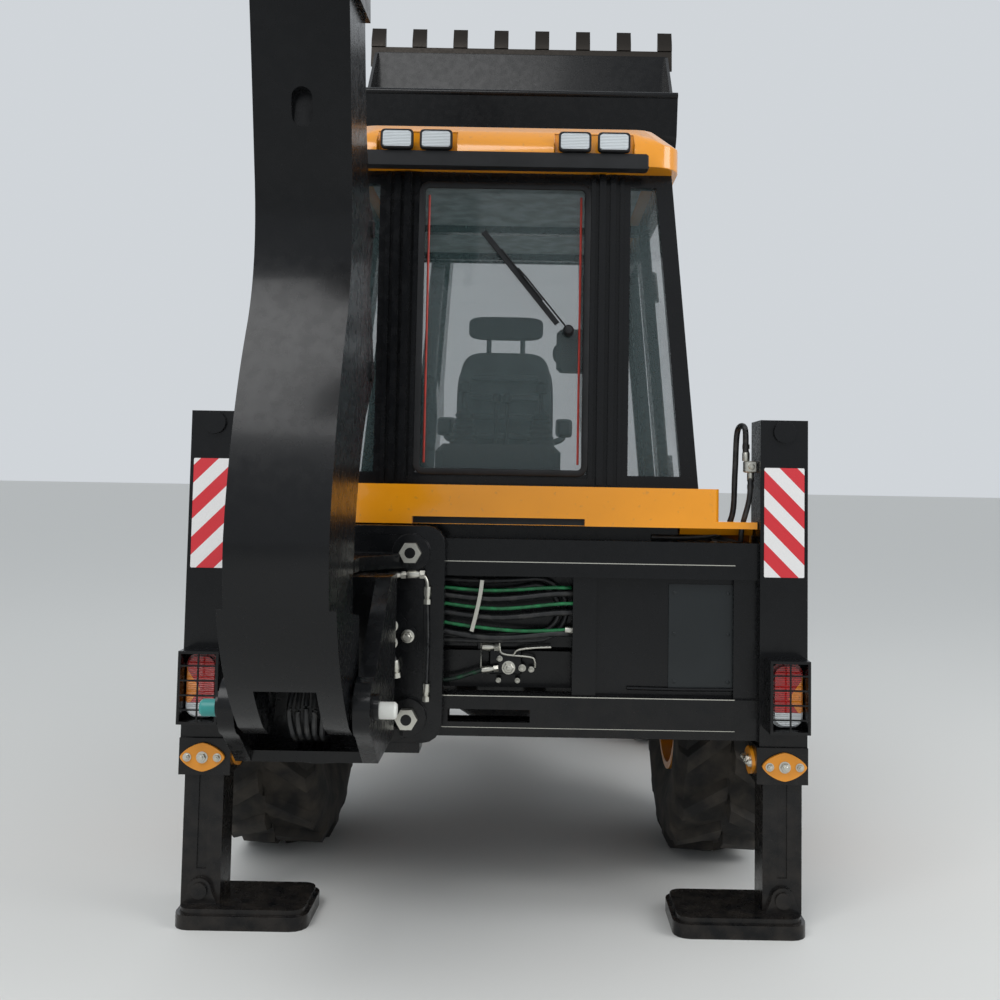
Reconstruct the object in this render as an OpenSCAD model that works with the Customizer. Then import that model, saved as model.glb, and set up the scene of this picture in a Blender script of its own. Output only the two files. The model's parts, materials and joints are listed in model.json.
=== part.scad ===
// Sideshift backhoe loader, millimetres. X points to the machine's right as seen from
// behind, Y points forward and Z points up. Lengthways places count from the rear axle.

/* [Machine] */
// Width over the two stabiliser legs
over_legs = 2346; // [2200:2:2500]
// Distance between the axles
wheelbase = 2170; // [2050:10:2400]
// Rear face of the rear frame, behind the rear axle
frame_back = 1000; // [950:10:1100]
// Gap between moving faces
clear = 5; // [4:0.5:8]
// Play of a pin or spindle in its bore
play = 0.05; // [0.02:0.01:0.09]
// Gap where a piece rests or slides on another
slide_gap = 0.3; // [0.2:0.05:0.5]

/* [Wheels] */
// Outer radius of the rear tyre at the lug tips
rear_r = 720; // [690:5:740]
// Width of the rear tyre
rear_w = 430; // [380:5:450]
// Bead radius of the rear rim
rear_rim = 356; // [330:2:380]
// Outer radius of the front tyre at the lug tips
front_r = 485; // [450:5:510]
// Width of the front tyre
front_w = 310; // [260:5:330]
// Bead radius of the front rim
front_rim = 229; // [215:2:250]
// Middle of each tyre from the centre plane
track_half = 955; // [940:5:960]
// Radius of the wheel spindles
spindle_r = 55; // [45:1:65]
// Height of a tyre's lugs
lug_h = 34; // [25:1:40]
// Slant of the lugs from the axle's direction
lug_slant = 38; // [30:1:50]
// Kingpin from the centre plane
kingpin_x = 715; // [690:5:730]

/* [Rear frame] */
// Outer size of a leg's square sleeve
sleeve = 180; // [170:2:200]
// Wall of the sleeve
sleeve_wall = 12; // [8:1:16]
// Top of the sleeves
sleeve_top = 1900; // [1850:10:1950]
// Bottom of the sleeves
sleeve_low = 540; // [500:10:600]
// Depth of the rails
rail_depth = 120; // [100:5:140]
// Underside of the lower rail
low_rail_z = 690; // [660:5:720]
// Height of the lower rail
low_rail_h = 150; // [120:5:170]
// Underside of the upper rail
top_rail_z = 1290; // [1260:5:1320]
// Height of the upper rail
top_rail_h = 140; // [120:5:160]
// Width of a stabiliser pad
pad_w = 490; // [440:10:520]
// Depth of a stabiliser pad
pad_d = 330; // [280:10:360]
// Thickness of a stabiliser pad
pad_h = 70; // [50:5:90]

/* [Backhoe] */
// Width of the sliding carriage
carriage_w = 750; // [700:10:780]
// Room between the carriage and the left end of its rails, at rest
end_room = 48; // [40:2:110]
// Swing axis of the kingpost behind the frame
swing_back = 400; // [390:10:430]
// Boom pivot behind the frame
pivot_back = 850; // [820:10:900]
// Height of the boom pivot
pivot_z = 960; // [930:10:990]
// Width of the boom box
boom_w = 290; // [260:5:310]
// Width of the dipper box
dipper_w = 170; // [150:5:190]
// Length of the dipper from pivot to bucket pin
dipper_len = 1650; // [1550:10:1750]
// Width of the digging bucket
hoe_w = 610; // [450:10:760]

/* [Loader] */
// Arm pivot ahead of the rear axle
arm_y = 880; // [860:5:900]
// Height of the arm pivot
arm_z = 1560; // [1540:5:1600]
// Arm length from pivot to bucket pin
arm_len = 2800; // [2700:10:2850]
// Middle of each arm from the centre plane
arm_x = 465; // [460:5:480]
// Width of an arm
arm_w = 110; // [90:5:120]
// Width of the loader bucket body
bucket_w = 2160; // [2000:10:2200]
// Width of the cutting edge
edge_w = 2240; // [2100:10:2300]
// Number of bucket teeth
teeth_n = 8; // [6:1:9]

/* [Cab] */
// Half width of the cab at the foot of its side walls
cab_foot_x = 830; // [800:5:840]
// Half width of the cab under the roof
cab_head_x = 662; // [640:2:680]
// Foot of the side walls
cab_foot_z = 1100; // [1080:10:1120]
// Underside of the roof
cab_head_z = 2880; // [2850:10:2920]
// Rear face of the cab behind the rear axle
cab_back = 880; // [860:5:900]
// Front face of the cab ahead of the rear axle
cab_front = 760; // [740:5:770]
// Thickness of the cab walls and doors
cab_wall = 50; // [40:2:60]
// Thickness of the glass
glass_t = 6; // [5:1:8]
// Height of the roof shell
roof_h = 175; // [150:5:200]

/* [Hidden] */
$fn = 64;
frame_y = -frame_back;
sleeve_x = over_legs / 2 - sleeve / 2;
leg = sleeve - 2 * sleeve_wall - 2 * clear;
sleeve_y = frame_y + rail_depth / 2;
rail_end = sleeve_x - sleeve / 2;
carriage_x = carriage_w / 2 + end_room - rail_end;
swing_y = frame_y - swing_back;
pivot_y = frame_y - pivot_back;
lean = atan((cab_foot_x - cab_head_x) / (cab_head_z - cab_foot_z));
wall_len = (cab_head_z - cab_foot_z) / cos(lean);
SIDES = [-1, 1];

// Points of an arc about a centre, from one angle to another
function arc(c, r, a0, a1, n = 8) =
    [for (i = [0:n]) c + r * [cos(a0 + (a1 - a0) * i / n), sin(a0 + (a1 - a0) * i / n)]];
// Outline of a rectangle with rounded corners
function rounded(w, h, r, n = 4) = concat(
    arc([w / 2 - r, h / 2 - r], r, 0, 90, n), arc([-w / 2 + r, h / 2 - r], r, 90, 180, n),
    arc([-w / 2 + r, -h / 2 + r], r, 180, 270, n), arc([w / 2 - r, -h / 2 + r], r, 270, 360, n));
// A point that lies along and across a line at an angle
function along(c, a, u, v = 0) =
    c + [u * cos(a) - v * sin(a), u * sin(a) + v * cos(a)];

// Front of the nose ahead of the rear axle
nose_front = 2990;
// Back of the nose, where the bonnet starts
nose_back = 2690;
// Depth of the grille's mouth, and of all that stays solid in front of the hollow
mouth_deep = 90;
nose_face = 140;
// Arc of the digging bucket's back, at a radius
function hoe_shell(r) = arc([472, 40], r, 193, 300, 10);
// Moves the machine so that the origin lies under the middle of its box
module place() {
    translate([0, -middle_y, 0]) children();
}
// Box between two corners
module block(a, b) {
    translate(a) cube(b - a);
}
// Side outline in Y and Z, carried from x0 to x1
module side(x0, x1) {
    translate([x0, 0, 0]) rotate([90, 0, 90]) linear_extrude(x1 - x0) children();
}
// Round bar along X between x0 and x1 at a Y and Z place
module xbar(r, x0, x1, at) {
    translate([x0, at[0], at[1]]) rotate([0, 90, 0]) cylinder(r = r, h = x1 - x0);
}
// Flat frame lying in a leaning side wall, its outline in Y and in height up the wall
module side_wall(s, t) {
    translate([s * cab_foot_x, 0, cab_foot_z]) rotate([0, -s * lean, 0])
        translate([s > 0 ? -t : 0, 0, 0]) rotate([90, 0, 90]) linear_extrude(t) children();
}

/* Chassis */
rail_in = 300;
rail_out = 380;
axle_front_z = front_r;
lift_base = [700, 560];

module chassis() {
    rail = [[frame_y + rail_depth, 830], [520, 830], [760, 620], [2690, 620], [2690, 800],
        [860, 860], [640, 1010], [frame_y + rail_depth, 1010]];
    color("#2b2c2e") difference() {
        union() {
            for (s = SIDES) {
                side(s > 0 ? rail_in : -rail_out, s > 0 ? rail_out : -rail_in) polygon(rail);
                // Tower plates that carry the loader arm between them
                for (x = [arm_x - arm_w / 2 - 30, arm_x + arm_w / 2 + clear])
                    side(s > 0 ? x : -x - 25, s > 0 ? x + 25 : -x)
                        polygon(concat([[lift_base[0] - 60, lift_base[1] - 70],
                            [lift_base[0] + 70, lift_base[1] - 70], [930, 760]],
                            arc([arm_y, arm_z], 105, -15, 180), [[775, 1300], [775, 1030],
                                [690, 1000], [600, 900]]));
                // Web that ties the plates to the rail
                block([s > 0 ? rail_out : -arm_x - arm_w / 2 - 30, 605, 790],
                    [s > 0 ? arm_x + arm_w / 2 + 30 : -rail_out, 690, 960]);
            }
            // Cross members
            for (y = [[-860, -800], [-260, -160], [160, 260], [1300, 1360], [2600, 2690]])
                block([-rail_in, y[0], y[0] < 600 ? 850 : 640], [rail_in, y[1], y[0] < 600 ? 990 : 780]);
            // Cross tube under the windscreen between the towers
            block([-arm_x + arm_w / 2 + 30, 800, 1330], [arm_x - arm_w / 2 - 30, 870, 1400]);
            // Saddle for the swinging front axle
            block([-rail_in, wheelbase - 150, 650], [rail_in, wheelbase + 150, 700]);
            for (y = [wheelbase - 150, wheelbase + 110])
                block([-60, y, axle_front_z - 70], [60, y + 40, 650]);
            // Pads on top of the rear axle
            for (s = SIDES) block([s * 340 - 40, -60, 810], [s * 340 + 40, 60, 830]);
            // Pins of the arms and the lift rams
            for (s = SIDES) for (at = [[arm_y, arm_z, 45], lift_pin()])
                xbar(at[2], s * arm_x - arm_w / 2 - 50, s * arm_x + arm_w / 2 + 50, at);
        }
        // Room for the pivot of the front axle
        translate([0, wheelbase - 200, axle_front_z]) rotate([-90, 0, 0]) cylinder(r = 30 + play, h = 400);
    }
}
function lift_pin() = [lift_base[0], lift_base[1], 32];

/* Axles */
module axles() {
    color("#2b2c2e") {
        // Rear axle with its drop housing in the middle
        difference() {
            union() {
                xbar(90, -690, 690, [0, rear_r]);
                translate([0, 0, rear_r]) rotate([0, 90, 0]) rotate_extrude()
                    polygon([[0, -230], [120, -200], [185, -90], [185, 90], [120, 200], [0, 230]]);
                for (s = SIDES) xbar(spindle_r, s > 0 ? 690 : -1010, s > 0 ? 1010 : -690, [0, rear_r]);
                for (s = SIDES) xbar(130, s > 0 ? 640 : -690, s > 0 ? 690 : -640, [0, rear_r]);
            }
            // Flats under the frame pads
            for (s = SIDES) block([s * 340 - 41, -61, 810], [s * 340 + 41, 61, 840]);
        }
        // Front axle beam on its lengthways pivot
        difference() {
            union() {
                front_beam();
                translate([0, wheelbase - 170, axle_front_z]) rotate([-90, 0, 0]) cylinder(r = 30, h = 340);
            }
            for (s = SIDES) translate([s * kingpin_x, wheelbase, 0]) cylinder(r = 32 + play, h = 2000);
        }
    }
}
module front_beam() {
    beam = [[-kingpin_x, 42], [-600, 42], [-240, 55], [-120, 75], [120, 75], [240, 55], [600, 42],
        [kingpin_x, 42], [kingpin_x, -42], [600, -42], [240, -60], [120, -110], [-120, -110], [-240, -60],
        [-600, -42], [-kingpin_x, -42]];
    translate([0, wheelbase + 55, axle_front_z]) rotate([90, 0, 0]) linear_extrude(110) polygon(beam);
    for (s = SIDES) translate([s * kingpin_x, wheelbase, axle_front_z - 42]) cylinder(r = 62, h = 84);
}

module engine() {
    color("#46484a") block([-290, 1400, 700], [290, 2180, 1180]);
}
module nose() {
    color("#3a3b3d") difference() {
        side(-375, 375) polygon([[nose_back, 640], [nose_front - 60, 640], [nose_front, 760],
            [nose_front - 30, 1180], [nose_front - 110, 1310], [nose_back, 1330]]);
        // Grille mouth with slats left in it
        for (i = [0:5])
            block([-300, nose_front - mouth_deep, 800 + i * 75], [300, nose_front + 110, 850 + i * 75]);
        block([-330, nose_back - 90, 700], [330, nose_front - nose_face, 1250]);
    }
    // Lugs and pins of the bonnet's hinge
    color("#3a3b3d") for (s = SIDES) {
        for (x = [s * 200 - 106, s * 200 + 94]) side(x, x + 12)
            polygon(concat([[nose_back, 1325], [nose_back + 35, 1325]], arc(bonnet_axis, 12, 20, 180, 5),
                [[nose_back, 1335]]));
        xbar(6, s * 200 - 106, s * 200 + 106, bonnet_axis);
    }
}
tower_out = arm_x + arm_w / 2 + clear + 25;
module tanks() {
    // Fuel tank on the left and hydraulic tank with steps on the right
    color("#2b2c2e") for (s = SIDES) {
        difference() {
            side(s > 0 ? tower_out : -740, s > 0 ? 740 : -tower_out)
                polygon(concat([[800, 620]], arc([1240, 680], 60, -90, 0, 4),
                    arc([1240, 940], 60, 0, 90, 4), [[800, 1000]]));
            block([s * 655 - 90, 820, 1000 - 24], [s * 655 + 90, 1240, 1010]);
        }
        // Two step treads hang ahead of the rear wheel
        for (z = [430, 610 - 30]) block([s > 0 ? 590 : -760, 840, z], [s > 0 ? 760 : -590, 1180, z + 30]);
        for (y = [845, 1145]) block([s > 0 ? 590 : -620, y, 430], [s > 0 ? 620 : -590, y + 30, 622]);
    }
}
module exhaust() {
    color("#5a5a5a") {
        translate([300, 1000, 857.7]) cylinder(r = 60, h = 200);
        translate([300, 1000, 1055]) cylinder(r = 32, h = 620);
    }
}

/* Cab */
floor_z = 1010;
ledge_h = 390;
ledge_z = cab_foot_z + ledge_h * cos(lean);
arch_front = [645, 0];
pillar = 60;
door_hinge_y = 70;
hinge_out = 16;
// Half width of the cab's outside at a height
function cab_half(z) = cab_foot_x - (z - cab_foot_z) * tan(lean);
front_lean = 25;
door_outline = [[door_hinge_y, 450], [430, 450], [645, 75], [cab_front - pillar, 75],
    [cab_front - pillar - front_lean, wall_len - 70], [door_hinge_y, wall_len - 70]];
function door_points(g) = [door_outline[0] + [g, g], door_outline[1] + [g * 1.6, g],
    door_outline[2] + [g * 1.6, g], door_outline[3] + [-g, g],
    door_outline[4] + [-g, -g], door_outline[5] + [g, -g]];
door_window = [[door_hinge_y + 70, 560], [470, 560], [cab_front - pillar - 70, 330],
    [cab_front - pillar - front_lean - 62, wall_len - 135], [door_hinge_y + 70, wall_len - 135]];
quarter_window = [[-cab_back + 80, 480], [-10, 480], [-10, wall_len - 70],
    [-cab_back + 80, wall_len - 70]];
window_low = 1680;
window_top = cab_head_z - 50;
window_half = 335;
// Inner edge of the corner panes beside the window's ridged frame
corner_pane = 500;

module rear_openings(g = 0) {
    polygon([[-window_half + g, window_low + g], [window_half - g, window_low + g],
        [window_half - g, window_top - g], [-window_half + g, window_top - g]]);
    for (s = SIDES) polygon([[s * (corner_pane + g), window_low + g],
        [s * (cab_half(window_low) - 65 - g), window_low + g],
        [s * (cab_half(window_top) - 65 - g), window_top - g],
        [s * (corner_pane + g), window_top - g]]);
}
module screen_opening(g = 0) {
    polygon([for (c = [[-1, 0], [1, 0], [1, 1], [-1, 1]])
        let (z = c[1] > 0 ? window_top - g : 1440 + g) [c[0] * (cab_half(z) - 75 - g), z]]);
}
module end_wall(y, t, z0) {
    translate([0, y + t, 0]) rotate([90, 0, 0]) linear_extrude(t) difference() {
        polygon([for (c = [[-1, z0], [1, z0], [1, cab_head_z - 3], [-1, cab_head_z - 3]])
            [c[0] * (cab_half(c[1]) - 8), c[1]]]);
        children();
    }
}
module cab_frame() {
    color("#1f2022") difference() {
        union() {
            for (s = SIDES) {
                side_wall(s, cab_wall) difference() {
                    polygon([[-cab_back, ledge_h], [400, ledge_h], arch_front, [cab_front, 0],
                        [cab_front - front_lean, wall_len], [-cab_back, wall_len]]);
                    polygon(door_outline);
                    polygon(quarter_window);
                }
                // Tub beside the seat, ledge over the wheel and foot corner
                block([s > 0 ? 660 : -700, -cab_back, floor_z], [s > 0 ? 700 : -660, 700, ledge_z]);
                block([s > 0 ? 670 : -cab_half(ledge_z) + 20, -cab_back, ledge_z],
                    [s > 0 ? cab_half(ledge_z) - 20 : -670, 420, ledge_z + 20]);
                side(s > 0 ? 690 : -795, s > 0 ? 795 : -690)
                    polygon([[400, ledge_z], [425, ledge_z + 20], [672, 1100], [645, 1100]]);
                block([s > 0 ? 690 : -800, 645, 1060], [s > 0 ? 800 : -690, cab_front, 1100]);
                // Frame lugs and pins of the door
                side_wall_pins(s);
            }
            block([-700, -cab_back, floor_z], [700, 700, floor_z + 40]);
            end_wall(-cab_back, cab_wall, ledge_z) rear_openings();
            // Ridges beside the rear window
            for (s = SIDES) for (row = [[352, 18, 14], [388, 26, 24], [430, 22, 16], [466, 16, 10]])
                block([s * row[0] - row[1] / 2, -cab_back - row[2], window_low - 38],
                    [s * row[0] + row[1] / 2, -cab_back + 1, cab_head_z - 6]);
            block([-370, -cab_back - 12, window_low - 38], [370, -cab_back + 1, window_low - 14]);
            block([-700, -cab_back, floor_z], [700, -cab_back + cab_wall, ledge_z]);
            end_wall(cab_front - cab_wall, cab_wall, 1080) screen_opening();
            // Roof frame
            for (y = [-cab_back, 0, cab_front - 110])
                block([-cab_half(cab_head_z) + 10, y, cab_head_z - 45],
                    [cab_half(cab_head_z) - 10, y + 60, cab_head_z]);
        }
        // The front pillars lean back, so what stands ahead of them is cut
        side(-900, 900) polygon([[cab_front - 3, cab_foot_z + 30], [cab_front + 200, cab_foot_z + 30],
            [cab_front + 200, 3000], [cab_front - front_lean - 4, 3000]]);
    }
}
module at_wall(s, h) {
    translate([s * cab_foot_x, door_hinge_y, cab_foot_z]) rotate([0, -s * lean, 0])
        translate([s * hinge_out, 0, h]) children();
}
hinge_heights = [620, 1500];
module side_wall_pins(s) {
    for (h = hinge_heights) at_wall(s, h) {
        translate([0, 0, -70]) cylinder(r = 7, h = 140);
        for (z = [-70, 42]) translate([0, 0, z]) {
            cylinder(r = 14, h = 28);
            translate([s > 0 ? -hinge_out - 8 : 0, -45, 0]) cube([hinge_out + 8, 45, 28]);
        }
    }
}
module door(s) {
    color("#1f2022") {
        side_wall(s, cab_wall) difference() {
            polygon(door_points(clear));
            polygon(door_window);
        }
        // Hinge barrels
        for (h = hinge_heights) at_wall(s, h) difference() {
            union() {
                translate([0, 0, -38]) cylinder(r = 14, h = 76);
                translate([s > 0 ? -hinge_out - 8 : 0, clear, -38]) cube([hinge_out + 8, 55, 76]);
            }
            translate([0, 0, -50]) cylinder(r = 7 + play, h = 100);
        }
        // Pull handle
        side_wall_out(s, 30) polygon([[600, 470], [640, 400], [660, 410], [620, 480]]);
    }
}
module side_wall_out(s, t) {
    translate([s * cab_foot_x, 0, cab_foot_z]) rotate([0, -s * lean, 0])
        translate([s > 0 ? 0 : -t, 0, 0]) rotate([90, 0, 90]) linear_extrude(t) children();
}
// Pane set in the middle of a side wall
module side_pane(s) {
    inset = (cab_wall - glass_t) / 2;
    translate([s * cab_foot_x, 0, cab_foot_z]) rotate([0, -s * lean, 0])
        translate([s > 0 ? -inset - glass_t : inset, 0, 0]) rotate([90, 0, 90])
            linear_extrude(glass_t) children();
}
module door_glass(s) {
    color("#6f7f86") side_pane(s) polygon(door_window);
}
module cab_glass() {
    color("#6f7f86") {
        for (s = SIDES) side_pane(s) polygon(quarter_window);
        translate([0, -cab_back + 28, 0]) rotate([90, 0, 0]) linear_extrude(glass_t) rear_openings();
        translate([0, cab_front - 34, 0]) rotate([90, 0, 0]) linear_extrude(glass_t) screen_opening();
    }
}
module cab_roof() {
    color("#f2a21b") translate([0, (cab_front - cab_back) / 2 - 40, cab_head_z]) difference() {
        roof_form(0);
        difference() {
            roof_form(30);
            lamp_pockets(25);
        }
        lamp_pockets(0);
    }
}
// Pockets of the rear work lamps, or the blocks that line them
module lamp_pockets(t) {
    for (s = SIDES) block([s > 0 ? lamp_x[0] - 80 - t : -lamp_x[1] - 80 - t, -1000, 42 - t],
        [s > 0 ? lamp_x[1] + 80 + t : -lamp_x[0] + 80 + t, -840 + t, 142 + t]);
}
// Roof shape, or the space left inside a wall of thickness t
module roof_form(t) {
    translate([0, 0, t]) hull() {
        linear_extrude(90 - t) polygon(rounded(1370 - 2 * t, 1800 - 2 * t, 110 - t));
        linear_extrude(roof_h - 2 * t) polygon(rounded(1210 - 2 * t, 1620 - 2 * t, 90 - t));
    }
}
module rear_body() {
    color("#f2a21b") {
        // Band across the back, under the rear window
        difference() {
            translate([0, 0, 1484]) linear_extrude(150) translate([0, -940]) polygon(rounded(1690, 118, 30));
            block([-330, -1100, 1484], [330, -980, 1512]);
        }
        for (s = SIDES) {
            side(s > 0 ? 705 : -988, s > 0 ? 988 : -705) polygon(concat(
                [[-cab_back - 118, 1510], [-cab_back - 118, 1484], [-915, 1484], [-895, 1456],
                [-300, 1456]], arc([0, rear_r], 737, 88, 47, 8), arc([0, rear_r], 760, 47, 88, 8),
                [[-300, 1480], [-cab_back - clear, 1483.3], [-cab_back - clear, 1510]]));
            // Outer lip
            side(s > 0 ? 988 : -1006, s > 0 ? 1006 : -988) polygon(concat(
                [[sleeve_y + sleeve / 2 + 10, 1484], [sleeve_y + sleeve / 2 + 10, 1420], [-300, 1420]],
                arc([0, rear_r], 727, 105, 47, 10), arc([0, rear_r], 760, 47, 88, 8), [[-300, 1480]]));
        }
    }
}
module seat() {
    color("#2a2a2c") {
        block([-230, -330, floor_z + 380], [230, 150, floor_z + 500]);
        side(-210, 210) polygon([[-330, floor_z + 499], [-200, floor_z + 499], [-230, floor_z + 1375],
            [-300, floor_z + 1380], [-340, floor_z + 1370]]);
        block([-180, -260, floor_z + 40], [180, 100, floor_z + 380]);
    }
}
module console() {
    color("#2a2b2d") {
        side(-140, 140) polygon([[520, floor_z + 40], [700, floor_z + 40], [700, floor_z + 560],
            [600, floor_z + 600], [520, floor_z + 520]]);
        translate([0, 520, floor_z + 640]) rotate([-28, 0, 0]) {
            rotate_extrude() translate([180, 0]) circle(r = 14);
            translate([0, 0, -60]) cylinder(r = 22, h = 70);
            for (a = [0, 120, 240]) rotate([0, 0, a]) translate([0, -12, -8]) cube([180, 24, 12]);
        }
        // Control boxes on both sides of the rear seat
        for (s = SIDES) {
            block([s * 400 - 90, -640, floor_z + 40], [s * 400 + 90, -200, floor_z + 560]);
            translate([s * 400, -520, floor_z + 560]) cylinder(r = 12, h = 170);
            translate([s * 400, -520, floor_z + 730]) sphere(r = 28);
        }
    }
}

/* Rear frame */
leg_top = 1440;
module rear_frame() {
    color("#26272a") {
        difference() {
            union() {
                for (z = [[low_rail_z, low_rail_h], [top_rail_z, top_rail_h]])
                    block([-rail_end - 1, frame_y, z[0]], [rail_end + 1, frame_y + rail_depth, z[0] + z[1]]);
                // Uprights beside the sleeves and by the chassis rails
                for (s = SIDES) for (x = [[rail_end - 90, rail_end + 1], [rail_in - 10, rail_out]])
                    block([s > 0 ? x[0] : -x[1], frame_y + 20, low_rail_z + 20],
                        [s > 0 ? x[1] : -x[0], frame_y + rail_depth, top_rail_z + 20]);
                // Back panels
                block([rail_out - 1, frame_y + 45, 830], [rail_end - 80, frame_y + 57, 1300]);
                block([-rail_end + 80, frame_y + 45, 830], [-rail_out + 1, frame_y + 57, 1300]);
            }
            // Slot through the lower rail
            block([-178, frame_y - 1, low_rail_z + 53], [132, frame_y + rail_depth + 1, low_rail_z + 100]);
        }
        // Sleeves of the legs
        for (s = SIDES) translate([s * sleeve_x, sleeve_y, 0]) {
            difference() {
                union() {
                    translate([-sleeve / 2, -sleeve / 2, sleeve_low]) cube([sleeve, sleeve, sleeve_top - sleeve_low]);
                    translate([s > 0 ? -sleeve / 2 - 12 : -sleeve / 2, -sleeve / 2 - 12, sleeve_low])
                        cube([sleeve + 12, sleeve + 24, 135]);
                }
                translate([0, 0, sleeve_low - 1]) linear_extrude(sleeve_top - sleeve_low - 11)
                    square(sleeve - 2 * sleeve_wall, center = true);
            }
            // Wear pads that guide the leg
            for (z = [sleeve_low + 20, leg_top - 140]) for (a = [0:90:270]) rotate([0, 0, a])
                translate([leg / 2 + slide_gap, -50, z]) cube([clear - slide_gap + 1, 100, 100]);
            // Pin boss at the top
            translate([0, -sleeve / 2 + 1, sleeve_top - 45]) rotate([90, 0, 0]) cylinder(r = 42, h = 16);
        }
    }
}
hose_r = 11;
hose_mid_z = 1158;
// Hoses looped inside the frame, from the left upright and back
module hose_loop() {
    // Columns: radius of the bend, place lengthways, where the bend starts
    for (row = [[118, -938, 150], [92, -938, 150], [118, -913, 142], [92, -913, 130]])
        color("#1a1b1c") translate([row[2], row[1], hose_mid_z]) {
            rotate([90, 0, 0]) rotate([0, 0, -90]) rotate_extrude(angle = 180) translate([row[0], 0])
                circle(r = hose_r, $fn = 24);
            for (t = SIDES) translate([0, 0, t * row[0]]) rotate([0, -90, 0])
                cylinder(r = hose_r, h = row[2] + rail_in - 10, $fn = 24);
        }
}
lamp_low = 745;
lamp_h = 265;
lamp_w = 148;
guard_out = 105;
lamp_back = sleeve_y - sleeve / 2 - 12;
module lamp_guards() {
    color("#1c1d1f") for (s = SIDES) translate([s * sleeve_x, lamp_back, lamp_low]) difference() {
        union() {
            difference() {
                translate([-lamp_w / 2, -guard_out, 0]) cube([lamp_w, guard_out + 12, lamp_h]);
                translate([-lamp_w / 2 + 10, -guard_out - 1, 10]) cube([lamp_w - 20, guard_out + 1, lamp_h - 20]);
            }
            // Grid across the open back
            for (i = [1:4]) translate([-lamp_w / 2 + 5, -guard_out, i * lamp_h / 5 - 3]) cube([lamp_w - 10, 6, 6]);
            translate([-3, -guard_out, 5]) cube([6, 6, lamp_h - 10]);
        }
    }
}
module tail_lamps() {
    color("#8a1a14") for (s = SIDES) translate([s * sleeve_x, lamp_back, lamp_low + lamp_h / 2])
        rotate([90, 0, 0]) {
            linear_extrude(40) polygon(rounded(lamp_w - 30, lamp_h - 30, 40, 6));
            translate([0, 0, 40]) linear_extrude(22) polygon(rounded(lamp_w - 50, lamp_h - 50, 34, 6));
        }
}
lamp_x = [270, 422];
module work_lamps() {
    color("#2a2b2d") for (s = SIDES) for (x = lamp_x) translate([s * x, -cab_back, cab_head_z + 52]) {
        translate([0, -115, 40]) rotate([90, 0, 0]) linear_extrude(20) polygon(rounded(126, 76, 14));
        translate([0, -60.1, 40]) rotate([90, 0, 0]) linear_extrude(56) polygon(rounded(100, 56, 14));
        // Foot that stands on the pocket's floor
        block([-20, -110, -9.7], [20, -80, 20]);
    }
}
module stabiliser(s) {
    color("#1e1f21") translate([s * sleeve_x, sleeve_y, 0]) {
        difference() {
            translate([-leg / 2, -leg / 2, 60]) cube([leg, leg, leg_top - 60]);
            translate([-leg / 2 + 12, -leg / 2 + 12, 150]) cube([leg - 24, leg - 24, leg_top]);
            translate([-18, -leg / 2 - 1, 190]) cube([36, 7, leg_top]);
        }
        // Pad with rounded corners, reaching inwards
        translate([-s * (pad_w / 2 - leg / 2 - 5), 0, 0]) {
            linear_extrude(pad_h - 20) polygon(rounded(pad_w, pad_d, 60));
            translate([0, 0, pad_h - 20]) linear_extrude(20) polygon(rounded(pad_w - 30, pad_d - 30, 50));
        }
        // Cheeks and pin of the pad
        for (y = [-leg / 2 - 20, leg / 2]) translate([0, y, 0]) rotate([90, 0, 0]) translate([0, 0, -20])
            linear_extrude(20) polygon(concat([[-70, 60]], [[70, 60]], arc([0, 116], 45, 0, 180)));
        translate([0, leg / 2 + 30, 116]) rotate([90, 0, 0]) cylinder(r = 30, h = leg + 60);
    }
}

/* Wheels */
// Ring of a tyre's skin with n lugs: two points at a lug's foot and two on its top
function skin_ring(n, row) = [for (i = [0:n - 1]) for (k = [0:3])
    let (a = (i + row[1] + (row[4] ? k * 0.25 - 0.375 : [-0.2, -0.14, 0.14, 0.2][k])) * 360 / n,
        q = k == 0 || k == 3 ? row[2] : row[3]) [q * cos(a), q * sin(a), row[0]]];
// Tyre with slanted lugs in two rows, half a pitch apart
module tyre(s, y, r, w, rim, n) {
    foot = r - lug_h;
    bead = (rim + slide_gap) / cos(45 / n);
    wall = (foot + rim) / 2;
    // Turn in pitches for each millimetre across, so that a lug has its slant
    lead = tan(lug_slant) * n / (2 * PI * r);
    edge = 0.42 * w;
    // Columns: place across, turn in pitches, radius of the feet, radius of the tops, evenly spaced
    half = [[4, 0, foot, foot, true], [12, 0, foot, r, false],
        [edge, lead * edge, foot - 8, r - 8, false], [w / 2 - 6, lead * edge, r - 85, r - 62, false],
        [w / 2, lead * edge, wall, wall, true], [w / 2 - 52, lead * edge, bead, bead, true]];
    count = len(half);
    rows = concat([for (i = [count - 1:-1:0]) [-half[i][0], half[i][1], half[i][2], half[i][3], half[i][4]]],
        [for (i = [0:count - 1]) [half[i][0], half[i][1] + 0.5, half[i][2], half[i][3], half[i][4]]]);
    ring = 4 * n;
    // The second half stands half a pitch on, which is two points of a ring
    faces = [for (j = [0:2 * count - 1]) for (k = [0:ring - 1])
        let (next = (j + 1) % (2 * count), skip = j == count - 1 ? -2 : j == 2 * count - 1 ? 2 : 0,
            a = j * ring + k, b = j * ring + (k + 1) % ring,
            c = next * ring + (k + 1 + skip + ring) % ring, d = next * ring + (k + skip + ring) % ring)
        each [[a, c, b], [a, d, c]]];
    color("#1b1b1c") translate([s * track_half, y, r]) rotate([0, 90, 0])
        polyhedron([for (row = rows) each skin_ring(n, row)], faces);
}
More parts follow.
